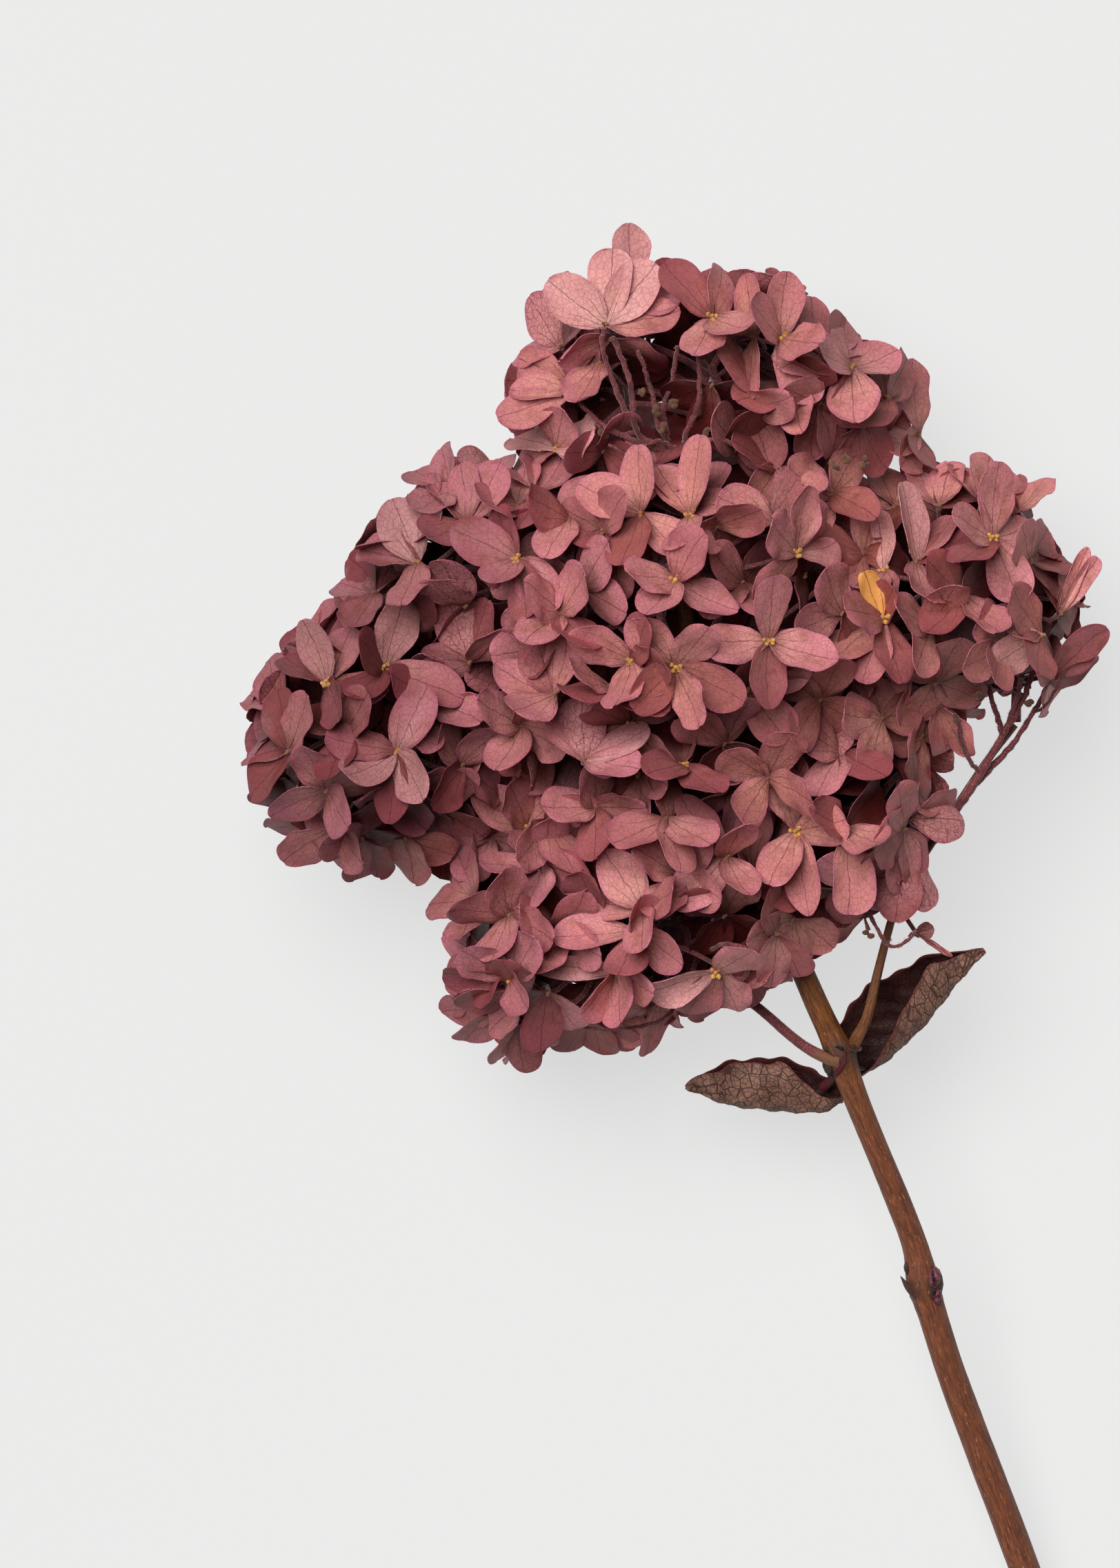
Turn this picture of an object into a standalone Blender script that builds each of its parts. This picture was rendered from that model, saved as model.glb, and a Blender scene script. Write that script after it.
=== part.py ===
"""A preserved hydrangea stem, cut and lying down.

A woody stem carries a lobed head of dried florets, two side shoots and two curled leaves. Places are in
millimetres, seen from above with the middle of the head at 0, 0. They are turned so that the stem runs
along -Y. The lowest sepals and the cut end of the stem rest on Z = 0.
"""

import math
import random
from collections import namedtuple

import bmesh
import bpy
from mathutils import Matrix, Vector
from mathutils.bvhtree import BVHTree

MM = 0.001
UP = Vector((0, 0, 1))
STEM_TURN = Matrix.Rotation(math.radians(-20.5), 4, "Z")

# How far a guard stands off the shape it guards, so that no two pieces touch
GUARD = 0.45

# Florets
SEPAL_LENGTH = 16.0
SEPAL_WIDTH = 12.5
SEPAL_THICKNESS = 0.8
SEPAL_DISH = 0.1
WIDEST_AT = 0.62
BLUNT_TIP_AT = 0.93
TIP_SHARE = 0.5
SEEN_TIPS = 2
HIDDEN_TIPS = 1
NOTCH_RADIUS = 2.6
CLOSEST_SEPALS = math.radians(42)
WIDEST_OPENING = math.radians(125)
WIDEST_SHARED_NOTCH = math.radians(110)
NEIGHBOUR_SHARE = 0.86
LARGER_LENGTH = 1.05
LARGER_WIDTH = 1.18
HIDDEN_SEPAL_LENGTH = 22.0
HIDDEN_SEPAL_WIDTH = 19.0
HIDDEN_SPACING = 23.0
HIDDEN_SHELL = (0.84, 0.84, 1.0)
HIDDEN_LOWEST_HUB = 9.0
HIDDEN_TRIES = 90
HIDDEN_HEIGHTS = (0.3, -0.98)
GOLDEN_ANGLE = math.pi * (3 - math.sqrt(5))
INSIDE_SHARE = 0.72

# Stalks
RAY_RADIUS = 1.2
PEDICEL_RADIUS = 0.75
FLOWER_RADIUS = 1.5
FLOWER_FOOT = 0.7
FLOWER_HEIGHT = 2.2
FLOWER_TIP_RADIUS = 0.3
STRAIGHT_END = 4.0
SWAY = 9.0
FOOT_SPACING = 1.6
NEAREST_FEET = 4

# Florets pressed flat under the head, which it rests on
REST_HUB_HEIGHT = 5.0
REST_LIFT = 0.65
LOWEST_FREE = 1.3

SHAPE_SEED = 11

Sepal = namedtuple("Sepal", "along across face length width tips")
Lobe = namedtuple("Lobe", "centre radii ray")

# Each lobe of the head: its middle, its radii, and the route of the ray that carries its spray
LOBES = {
    "spray_centre": Lobe(
        (-4, 2, 60),
        (56, 54, 54),
        [(5, -21, 61), (1, -14, 74), (-4, 0, 86), (-8, 10, 92)],
    ),
    "spray_top": Lobe(
        (5, 60, 56),
        (50, 34, 40),
        [(-1, 28.35, 59), (0, 44, 58), (3, 60, 58), (8, 70, 60)],
    ),
    "spray_upper_left": Lobe(
        (-50, 18, 54),
        (30, 28, 38),
        [(-3.2, 10, 59), (-16, 13, 58), (-38, 17, 57), (-54, 19, 58)],
    ),
    "spray_left": Lobe(
        (-74, -22, 50),
        (32, 30, 40),
        [(-0.5, -8, 57), (-20, -14, 55), (-52, -21, 52), (-76, -25, 52)],
    ),
    "spray_right": Lobe(
        (66, 11, 54),
        (29, 31, 38),
        [(76.2, -17, 51), (76, -6, 52), (72, 4, 54), (64, 12, 56)],
    ),
    "spray_lower_right": Lobe(
        (38, -38, 52),
        (24, 28, 40),
        [(15.6, -45, 54), (24, -42, 54), (34, -38, 54), (44, -36, 55)],
    ),
    "spray_bottom": Lobe(
        (2, -60, 48),
        (32, 26, 42),
        [(14.5, -56, 52), (9, -58, 50), (3, -61, 48), (-4, -64, 48)],
    ),
    "spray_bottom_left": Lobe(
        (-36, -68, 45),
        (22, 27, 40),
        [(-13, -70.5, 45), (-22, -69, 44), (-32, -68, 44), (-40, -68, 44)],
    ),
    "spray_under": Lobe(
        (-4, 2, 60),
        (56, 54, 54),
        [(5, -21, 54.6), (2, -16, 44), (-4, -4, 32), (-8, 6, 26)],
    ),
}

# Florets on the side seen from above. For each: where its middle is, its depth below the lobe's surface,
# which way it faces, and its sepals as angle, seen length and seen width
SEEN_FLORETS = {
    "spray_centre": [
        ((18, 1), 0, (0.2, 0.0), [(180, 15, 12), (85, 15, 9), (345, 16, 12), (272, 16, 12)]),
        ((-3, 15), 0, (0.0, 0.1), [(175, 10, 11), (335, 16, 9), (230, 10, 11), (60, 12, 11)]),
        ((-11, 31), 2, (-0.1, 0.2), [(155, 16, 12), (92, 16, 7), (320, 14, 11), (250, 13, 11)]),
        ((-4, -5), 2, (0.1, -0.1), [(135, 15, 12), (332, 18, 12), (230, 15, 12), (50, 8, 11)]),
        ((9, 31), 3, (0.1, 0.4), [(125, 14, 9), (60, 15, 11), (300, 12, 11)]),
        ((25, 22), 3, (0.3, 0.1), [(130, 10, 11), (75, 16, 8), (15, 12, 11), (225, 15, 6)]),
        ((-38, 21), 0, (-0.2, 0.1), [(155, 17, 13), (110, 13, 9), (310, 15, 12), (225, 8, 11)]),
        ((-24, -25), 2, (0.1, 0.2), [(115, 14, 12), (25, 15, 11), (340, 13, 11), (230, 12, 10)]),
        ((-32, -9), 3, (-0.2, 0.3), [(75, 15, 11), (155, 16, 12), (330, 12, 10)]),
        ((-20, 13), 8, (-0.2, 0.1), [(150, 11, 11), (240, 12, 11), (50, 11, 11), (330, 10, 11)]),
        ((8, -25), 7, (0.2, -0.3), [(60, 12, 11), (160, 12, 11), (260, 13, 11), (340, 12, 11)]),
        ((37, -2), 9, (0.4, 0.0), [(100, 14, 11), (10, 12, 11), (280, 14, 11)]),
        ((33, 36), 8, (0.2, 0.3), [(70, 13, 12), (160, 12, 12), (250, 12, 12), (340, 13, 12)]),
        ((24, -20), 12, (0.3, -0.3), [(30, 12, 11), (120, 12, 11), (210, 12, 11), (300, 12, 11)]),
        ((-36, -32), 10, (-0.1, -0.2), [(20, 12, 11), (110, 12, 11), (200, 12, 11), (290, 12, 11)]),
    ],
    "spray_top": [
        ((-20, 75), 0, (-0.1, 0.4), [(140, 17, 12), (97, 17, 12), (52, 16, 12), (330, 12, 8)]),
        ((21, 71), 0, (0.1, 0.2), [(88, 16, 12), (350, 9, 11), (300, 17, 12)]),
        ((4, 76), 2, (0.1, 0.4), [(130, 16, 12), (70, 11, 11), (225, 10, 11), (350, 9, 11)]),
        ((-13, 80), 16, (0.1, 0.8), [(95, 18, 12), (345, 11, 11)]),
        ((38, 65), 3, (0.4, 0.3), [(110, 12, 12), (265, 13, 13), (25, 11, 11)]),
        ((49, 54), 8, (0.8, 0.2), [(88, 14, 8), (48, 10, 8), (278, 9, 10)]),
        ((27, 54), 2, (0.2, -0.3), [(265, 14, 12), (340, 12, 10), (170, 10, 10)]),
        ((7, 54), 5, (0.0, -0.2), [(345, 14, 13), (240, 13, 11), (130, 13, 11)]),
        ((-30, 62), 6, (-0.7, 0.2), [(146, 15, 10), (205, 16, 10)]),
        ((-31, 46), 4, (-0.2, 0.1), [(165, 10, 11), (80, 9, 10), (10, 12, 10), (220, 12, 11)]),
        ((-9, 58), 12, (0.0, 0.0), [(20, 12, 11), (110, 12, 11), (200, 12, 11), (290, 12, 11)]),
    ],
    "spray_upper_left": [
        ((-51, 30), 2, (-0.1, 0.4), [(95, 13, 10), (45, 15, 10), (10, 12, 10), (160, 13, 11)]),
        ((-63, 20), 2, (-0.4, 0.3), [(115, 16, 13), (165, 14, 11), (250, 11, 10)]),
        ((-54, 8), 3, (0.0, -0.2), [(125, 11, 11), (250, 11, 10), (350, 12, 11)]),
        ((-44, -6), 6, (-0.1, -0.3), [(110, 15, 12), (50, 14, 11), (240, 12, 11), (320, 10, 10)]),
    ],
    "spray_left": [
        ((-70, -6), 0, (0.1, 0.2), [(75, 17, 12), (338, 18, 11), (140, 9, 9)]),
        ((-68, -24), 0, (0.0, 0.0), [(65, 16, 12), (205, 13, 11), (300, 13, 12), (150, 12, 11)]),
        ((-85, -8), 4, (-0.4, 0.3), [(112, 18, 11), (66, 14, 11), (230, 10, 10)]),
        ((-92, -25), 4, (-0.6, 0.0), [(100, 14, 11), (185, 10, 11), (240, 14, 11)]),
        ((-83, -36), 4, (-0.2, -0.4), [(205, 16, 11), (285, 13, 11), (25, 10, 10)]),
        ((-52, -28), 8, (0.2, -0.1), [(45, 13, 11), (235, 13, 11), (320, 11, 11)]),
        ((-64, -44), 12, (0.0, -0.5), [(190, 12, 11), (280, 11, 11), (350, 12, 11)]),
    ],
    "spray_right": [
        ((70, 25), 0, (0.1, 0.2), [(295, 16, 12), (20, 11, 11), (85, 17, 12), (180, 10, 10)]),
        ((52, 21), 2, (0.0, 0.3), [(100, 18, 12), (50, 14, 10), (330, 10, 10), (190, 12, 11)]),
        ((52, 4), 0, (0.0, -0.1), [(105, 10, 11), (190, 12, 11), (255, 15, 11), (330, 11, 11)]),
        ((81, 4), 2, (0.4, 0.0), [(125, 13, 11), (215, 13, 11), (320, 11, 11)]),
        ((86, 8), 12, (0.7, 0.3), [(98, 15, 11), (52, 17, 11), (0, 10, 11)]),
        ((84, -8), 10, (0.7, -0.3), [(40, 16, 11), (290, 10, 10)]),
        ((64, -10), 6, (0.2, -0.4), [(200, 12, 11), (270, 12, 11), (20, 12, 11)]),
    ],
    "spray_lower_right": [
        ((24, -42), 0, (0.0, 0.0), [(105, 17, 11), (15, 12, 11), (225, 13, 11), (285, 17, 9)]),
        ((45, -23), 6, (0.1, 0.1), [(170, 12, 11), (20, 12, 11), (258, 14, 11), (95, 12, 11)]),
        ((49, -43), 4, (0.3, -0.3), [(100, 11, 11), (225, 9, 10), (278, 15, 11), (355, 13, 10)]),
        ((24, -63), 10, (0.2, -0.6), [(200, 12, 11), (255, 13, 11), (320, 13, 11)]),
        ((36, -52), 8, (0.1, -0.2), [(20, 11, 11), (100, 11, 11), (190, 11, 11), (280, 12, 11)]),
    ],
    "spray_bottom": [
        ((8, -48), 0, (0.0, 0.0), [(128, 17, 12), (225, 17, 12), (60, 10, 11), (310, 11, 11)]),
        ((-11, -61), 0, (-0.1, 0.1), [(125, 16, 12), (30, 8, 11), (175, 15, 11), (260, 12, 11)]),
        ((-8, -40), 4, (0.0, 0.2), [(100, 15, 10), (205, 14, 11), (285, 13, 11)]),
        ((-24, -50), 9, (-0.1, 0.0), [(10, 12, 11), (100, 12, 11), (190, 12, 11), (280, 12, 11)]),
        ((5, -73), 4, (0.0, -0.4), [(195, 15, 11), (300, 12, 11), (240, 14, 11), (20, 13, 11)]),
        ((-17, -78), 8, (-0.1, -0.6), [(190, 13, 10), (250, 13, 10), (320, 12, 10)]),
    ],
    "spray_bottom_left": [
        ((-38, -43), 3, (0.0, 0.1), [(150, 14, 11), (40, 12, 11), (280, 11, 11)]),
        ((-41, -76), 3, (-0.1, -0.2), [(150, 16, 12), (205, 15, 11), (300, 12, 11), (60, 12, 11)]),
        ((-42, -60), 3, (0.0, 0.0), [(95, 11, 11), (175, 14, 10), (330, 13, 11)]),
        ((-29, -86), 12, (0.2, -0.6), [(335, 14, 11), (250, 12, 10), (180, 12, 11)]),
        ((-43, -87), 14, (-0.2, -0.8), [(180, 13, 11), (265, 11, 11)]),
    ],
    "spray_under": [],
}

# Florets that the head rests on: where the middle of each is, and the angle of its first sepal
RESTING_FLORETS = {
    "spray_under": [((-13.5, 0), 0), ((18, 18), 20), ((-30, 30), 45)],
    "spray_top": [((10, 54), 20)],
    "spray_left": [((-66, -20), 50)],
    "spray_right": [((58, 8), 10)],
    "spray_lower_right": [((42, -36), 40)],
    "spray_bottom": [((4, -58), 30)],
    "spray_bottom_left": [((-40, -62), 60)],
}

# The main stem from inside the head to its cut end, with its radius
STEM_ROUTE = [
    ((-1, 28, 59), 1.6),
    ((-1, 10, 59), 1.9),
    ((3, -16, 58), 2.1),
    ((12.5, -46, 54.5), 2.3),
    ((25.2, -72.5, 50.5), 2.6),
    ((29.9, -83, 48.5), 2.75),
    ((33.2, -90, 46.7), 2.95),
    ((35.2, -94.2, 45.6), 3.6),
    ((37, -99.5, 44.4), 3.15),
    ((41.5, -111, 41.8), 2.8),
    ((49.4, -130, 36.6), 2.9),
    ((53.1, -140, 33.8), 3.05),
    ((54.9, -148.5, 31.5), 3.85),
    ((57.2, -156, 29.6), 3.4),
    ((61.7, -170, 25.9), 3.4),
    ((69.2, -190, 20.6), 3.5),
    ((77.6, -212, 14.9), 3.55),
    ((98.2, -268, 2.9), 3.45),
]
STEM_SIDES = 9
CUT_SLANT = 0.35

SIDE_SHOOT_RIGHT = [
    ((39.4, -91.2, 47.2), 1.5),
    ((42.1, -84, 49), 1.15),
    ((45.4, -70, 50), 0.95),
    ((49.5, -57, 50), 0.9),
    ((56.3, -45.8, 50), 0.9),
    ((69.6, -26, 50), 0.9),
    ((76, -17.7, 50.7), 0.9),
]
SIDE_SHOOT_LEFT = [
    ((30.6, -95.5, 45.5), 1.4),
    ((28.2, -93.6, 45.9), 1.3),
    ((23.8, -90.3, 46), 1.15),
    ((13.2, -81.6, 46), 1.1),
    ((0, -74.5, 45.6), 1.0),
    ((-12.3, -70.7, 45.2), 1.0),
]

# The lower joint's dried bud scale and leaf scar
BUD_SCALE = [((53.6, -151, 32), 1.6), ((51.6, -149, 33.2), 1.2), ((49.7, -146.6, 34), 0.25)]
LEAF_SCAR = ((57.7, -148.8, 32.5), (1.7, 3.6, 2.2))

LEAF_THICKNESS = 0.8
LEAF_STATIONS = 8
LEAF_STEPS_ACROSS = 6

DRIED_PINK = (0.42, 0.17, 0.17, 1)
WOOD_BROWN = (0.18, 0.075, 0.04, 1)
PLUM = (0.17, 0.05, 0.05, 1)
LEAF_BROWN = (0.1, 0.055, 0.045, 1)


def clear_scene():
    for old in list(bpy.data.objects):
        bpy.data.objects.remove(old, do_unlink=True)


def material(name, colour, roughness):
    made = bpy.data.materials.new(name)
    made.use_nodes = True
    shader = made.node_tree.nodes["Principled BSDF"]
    shader.inputs["Base Color"].default_value = colour
    shader.inputs["Roughness"].default_value = roughness
    shader.inputs["Metallic"].default_value = 0
    return made


def add_object(name, points, faces, finish=None):
    """A mesh object from places in millimetres, seen from above."""
    mesh = bpy.data.meshes.new(name)
    mesh.from_pydata([STEM_TURN @ (Vector(point) * MM) for point in points], [], faces)
    made = bpy.data.objects.new(name, mesh)
    bpy.context.scene.collection.objects.link(made)
    if finish:
        mesh.materials.append(finish)
    return made


def smooth_route(stations, spacing):
    """Places and radii along a smooth curve through the stations, about a spacing apart."""
    places = [Vector(place) for place, _ in stations]
    radii = [radius for _, radius in stations]
    places = [2 * places[0] - places[1]] + places + [2 * places[-1] - places[-2]]
    route = []
    for i in range(len(radii) - 1):
        before, start, end, after = places[i : i + 4]
        steps = max(1, round((end - start).length / spacing))
        for step in range(steps):
            t = step / steps
            bend = (end - before) * t + (2 * before - 5 * start + 4 * end - after) * t**2
            bend += (3 * start - before - 3 * end + after) * t**3
            route.append((start + bend / 2, radii[i] + (radii[i + 1] - radii[i]) * t))
    route.append((places[-2], radii[-1]))
    return route


def tube(route, sides, end_slant=0.0):
    """A closed tube round a route of places and radii."""
    points, faces = [], []
    first = (route[1][0] - route[0][0]).normalized()
    reference = first.orthogonal().normalized()
    for i, (place, radius) in enumerate(route):
        ahead = route[min(i + 1, len(route) - 1)][0]
        behind = route[max(i - 1, 0)][0]
        along = (ahead - behind).normalized()
        reference = (reference - along * reference.dot(along)).normalized()
        other = along.cross(reference)
        for side in range(sides):
            turn = 2 * math.pi * side / sides
            around = reference * math.cos(turn) + other * math.sin(turn)
            slant = along * around.z * radius * end_slant if i == len(route) - 1 else Vector()
            points.append(place + around * radius + slant)
    for i in range(len(route) - 1):
        for side in range(sides):
            a = i * sides + side
            b = i * sides + (side + 1) % sides
            faces.append((a, b, b + sides, a + sides))
    last = (len(route) - 1) * sides
    faces.append(tuple(reversed(range(sides))))
    faces.append(tuple(range(last, last + sides)))
    return points, faces


def lobe_top(name, x, y):
    """The height of a lobe's upper surface at a place, or of its middle where the place is outside it."""
    centre, radii, _ = LOBES[name]
    inside = 1 - ((x - centre[0]) / radii[0]) ** 2 - ((y - centre[1]) / radii[1]) ** 2
    return centre[2] + radii[2] * math.sqrt(max(inside, 0))


def head_top(x, y):
    return max(lobe_top(name, x, y) for name in LOBES)


def seen_sepal(facing, angle, reach, width):
    """A sepal from its seen angle, length and width. What looks short or narrow leans out of the view."""
    length = max(reach, SEPAL_LENGTH) * LARGER_LENGTH
    full_width = max(width, SEPAL_WIDTH) * LARGER_WIDTH
    turn = math.radians(angle)
    level = Vector((math.cos(turn), math.sin(turn), 0))
    sideways = UP.cross(level)
    lean = math.acos(reach * LARGER_LENGTH / length)
    falls = level.dot(facing) > 0.1
    along = level * math.cos(lean) + UP * (-math.sin(lean) if falls else math.sin(lean))
    over = along.cross(sideways)
    roll = math.acos(width * LARGER_WIDTH / full_width)
    choices = [sideways * math.cos(roll) + over * math.sin(roll) * sign for sign in (1, -1)]
    across = max(choices, key=lambda choice: along.cross(choice).dot(facing))
    return Sepal(along, across, along.cross(across), length, full_width, SEEN_TIPS)


def turned_sepal(facing, turn, lift, length, width):
    """A sepal at an angle round the way its floret faces, lifted towards it."""
    first = facing.orthogonal().normalized()
    level = first * math.cos(turn) + facing.cross(first) * math.sin(turn)
    across = facing.cross(level)
    along = level * math.cos(lift) + facing * math.sin(lift)
    return Sepal(along, across, along.cross(across), length, width, HIDDEN_TIPS)


def turn_round(facing, direction):
    first = facing.orthogonal()
    return math.atan2(direction.dot(facing.cross(first)), direction.dot(first))


def openings(turns):
    """The angle from each turn to the next one round the floret."""
    after = turns[1:] + turns[:1]
    return [(later - turn) % (2 * math.pi) or 2 * math.pi for turn, later in zip(turns, after)]


def completed(facing, sepals):
    """The sepals in order round the floret, with those that lie too close left out and hidden ones added."""
    ordered = []
    for sepal in sepals:
        turn = turn_round(facing, sepal.along)
        apart = [abs((turn - other + math.pi) % (2 * math.pi) - math.pi) for other, _ in ordered]
        if min(apart, default=math.pi) > CLOSEST_SEPALS:
            ordered.append((turn, sepal))
    while len(ordered) < 4:
        ordered.sort(key=lambda entry: entry[0])
        gaps = openings([turn for turn, _ in ordered])
        widest = max(range(len(gaps)), key=lambda i: gaps[i])
        if gaps[widest] < WIDEST_OPENING:
            break
        turn = ordered[widest][0] + min(gaps[widest] / 2, math.pi / 2)
        hidden = turned_sepal(facing, turn, -0.75, SEPAL_LENGTH, SEPAL_WIDTH)
        ordered.append((turn_round(facing, hidden.along), hidden))
    return [sepal for _, sepal in sorted(ordered, key=lambda entry: entry[0])]


def offset_solid(points, faces, thickness, lowest):
    """A thin closed solid on both sides of a sheet of triangles, kept above the lowest height."""
    normals = [Vector() for _ in points]
    for a, b, c in faces:
        normal = (points[b] - points[a]).cross(points[c] - points[a])
        for corner in (a, b, c):
            normals[corner] += normal.normalized()
    upper, lower = [], []
    for point, normal in zip(points, normals):
        shift = normal.normalized() * thickness / 2
        high = point + shift
        low = point - shift
        if min(high.z, low.z) < lowest:
            level = Vector((point.x, point.y, max(point.z, lowest + thickness / 2)))
            shift = UP * math.copysign(thickness / 2, shift.z)
            high = level + shift
            low = level - shift
        upper.append(high)
        lower.append(low)
    count = len(points)
    sides = {}
    for face in faces:
        for i in range(3):
            edge = (face[i], face[(i + 1) % 3])
            if (edge[1], edge[0]) in sides:
                del sides[(edge[1], edge[0])]
            else:
                sides[edge] = True
    solid_faces = [tuple(face) for face in faces]
    solid_faces += [tuple(corner + count for corner in reversed(face)) for face in faces]
    for a, b in sides:
        solid_faces += [(b, a, a + count), (b, a + count, b + count)]
    return upper + lower, solid_faces


def sepal_sheet(hub, sepal, left_share=1.0, right_share=1.0):
    """The middle of a sepal, then its outline from the left round its tip to the right."""
    middle = hub + sepal.along * sepal.length * (WIDEST_AT - 0.04) - sepal.face * sepal.length * SEPAL_DISH
    widest = hub + sepal.along * sepal.length * WIDEST_AT
    half = sepal.across * sepal.width / 2
    if sepal.tips == 1:
        tips = [hub + sepal.along * sepal.length]
    else:
        tip = hub + sepal.along * sepal.length * BLUNT_TIP_AT
        tips = [tip + half * TIP_SHARE * left_share, tip - half * TIP_SHARE * right_share]
    return [middle, widest + half * left_share, *tips, widest - half * right_share]


def crosses_itself(points, faces):
    tree = BVHTree.FromPolygons(points, faces)
    return any(not set(faces[a]) & set(faces[b]) for a, b in tree.overlap(tree) if a < b)


def eased(facing, sepal, share):
    """The sepal turned by a share of the way into the plane that its floret faces from."""
    flat = (sepal.along - facing * sepal.along.dot(facing)).normalized()
    along = sepal.along.lerp(flat, share).normalized()
    face = sepal.face.lerp(facing, share)
    face = (face - along * face.dot(along)).normalized()
    return sepal._replace(along=along, across=face.cross(along), face=face)


def guard_sepal(hub, sepal, lowest):
    """A sepal on its own, thickened and widened by the guard, which has to stay clear of other pieces."""
    wider = sepal._replace(length=sepal.length + GUARD, width=sepal.width + 2 * GUARD)
    points = sepal_sheet(hub, wider)
    root = len(points)
    points.append(hub + sepal.along * NOTCH_RADIUS)
    faces = [(root, 0, 1), (root, root - 1, 0)]
    faces += [(i, 0, i + 1) for i in range(1, root - 1)]
    return offset_solid(points, faces, SEPAL_THICKNESS + 2 * GUARD, lowest)


def notch_ring(hub, facing, turns):
    """The points between the roots of the sepals, and for each sepal the places of its two in that ring."""
    ring, owned = [], [[0, 0] for _ in turns]
    for i, gap in enumerate(openings(turns)):
        after = (i + 1) % len(turns)
        if gap < WIDEST_SHARED_NOTCH:
            owned[i][1] = owned[after][0] = len(ring)
            ring.append(turns[i] + gap / 2)
        else:
            owned[i][1] = len(ring)
            ring.append(turns[i] + math.pi / 4)
            owned[after][0] = len(ring)
            ring.append(turns[i] + gap - math.pi / 4)
    points = [hub + turned_sepal(facing, turn, 0, 1, 1).along * NOTCH_RADIUS for turn in ring]
    return points, owned


def floret_solid(hub, facing, sepals, lowest):
    """One closed plate of sepals that grow from a small flat middle."""
    turns = [turn_round(facing, sepal.along) for sepal in sepals]
    gaps = openings(turns)
    points, owned = notch_ring(hub, facing, turns)
    faces = [(0, i, i + 1) for i in range(1, len(points) - 1)]
    for i, sepal in enumerate(sepals):
        before, after = owned[i]
        shares = []
        for gap in (gaps[i], gaps[i - 1]):
            free = WIDEST_AT * sepal.length * math.tan(min(gap, WIDEST_OPENING) / 2)
            shares.append(min(1, NEIGHBOUR_SHARE * free / (sepal.width / 2)))
        middle = len(points)
        points += sepal_sheet(hub, sepal, *shares)
        left, right = middle + 1, len(points) - 1
        faces += [(before, middle, after), (after, middle, left), (before, right, middle)]
        faces += [(i, middle, i + 1) for i in range(left, right)]
    return offset_solid(points, faces, SEPAL_THICKNESS, lowest)


class Room:
    """The solids placed so far, which new ones keep clear of, and the free places for stalks on each ray."""

    def __init__(self):
        self.placed = []
        self.feet = {}

    def add(self, owner, points, faces):
        middle = sum(points, Vector()) / len(points)
        reach = max((point - middle).length for point in points)
        self.placed.append((owner, middle, reach, BVHTree.FromPolygons(points, faces)))

    def clear(self, points, faces, owner=None):
        """Whether a solid crosses nothing placed before. Solids of the owner may be crossed."""
        middle = sum(points, Vector()) / len(points)
        reach = max((point - middle).length for point in points)
        tree = BVHTree.FromPolygons(points, faces)
        for other, centre, radius, other_tree in self.placed:
            if other == owner or (centre - middle).length > reach + radius:
                continue
            if tree.overlap(other_tree):
                return False
        return True


def bent(sepal, lift, shorter):
    """The sepal swung towards the way it faces, and shortened."""
    turn = Matrix.Rotation(lift, 3, sepal.across)
    along, face = turn @ sepal.along, turn @ sepal.face
    length, width = sepal.length * shorter, sepal.width * shorter
    return sepal._replace(along=along, face=face, length=length, width=width)


def fitted_sepal(room, name, hub, sepal, lowest):
    """The sepal bent and shortened as little as keeps it clear, or None."""
    for owner in (None, name):
        for shorter in (1, 0.85, 0.7, 0.55):
            for lift in (0, -0.2, 0.2, -0.4, 0.4, -0.65, 0.65):
                tried = bent(sepal, lift, shorter)
                if room.clear(*guard_sepal(hub, tried, lowest), owner):
                    return tried
        if owner is None and not room.clear(*guard_sepal(hub, bent(sepal, 0, 0.3), lowest), name):
            return None
    return None


def stalk_stations(start, hub, facing, sway):
    """The foot of a stalk, a bend where it has to sway clear, and its straight end below the floret."""
    below = hub - facing * STRAIGHT_END
    if sway.length:
        return [start, (start + below) / 2 + sway, below]
    return [start, below]


def pedicel(start, hub, facing, sway, with_flower):
    """A three-sided stalk that ends in the sepals, or in the flower's middle above them."""
    route = [(place, PEDICEL_RADIUS) for place in stalk_stations(start, hub, facing, sway)]
    if with_flower:
        route.append((hub + facing * FLOWER_FOOT, FLOWER_RADIUS))
        route.append((hub + facing * FLOWER_HEIGHT, FLOWER_TIP_RADIUS))
    else:
        route.append((hub, FLOWER_RADIUS))
    return tube(route, 3)


def guarded_stalk(start, hub, facing, sway):
    thick = PEDICEL_RADIUS * 2 + GUARD
    route = [(place, thick) for place in stalk_stations(start, hub, facing, sway)]
    return tube(route + [(hub, thick + FLOWER_RADIUS / 2)], 3)


def sound_plate(room, name, hub, facing, fitted, lowest):
    """The floret's plate, its sepals eased as little as keeps it from crossing itself, or None."""
    for share in (0, 0.25, 0.5, 0.75, 1):
        sepals = [eased(facing, sepal, share) for sepal in fitted]
        sepals.sort(key=lambda sepal: turn_round(facing, sepal.along))
        plate = floret_solid(hub, facing, sepals, lowest)
        if not crosses_itself(*plate) and room.clear(*plate, name):
            return plate
    return None


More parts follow.
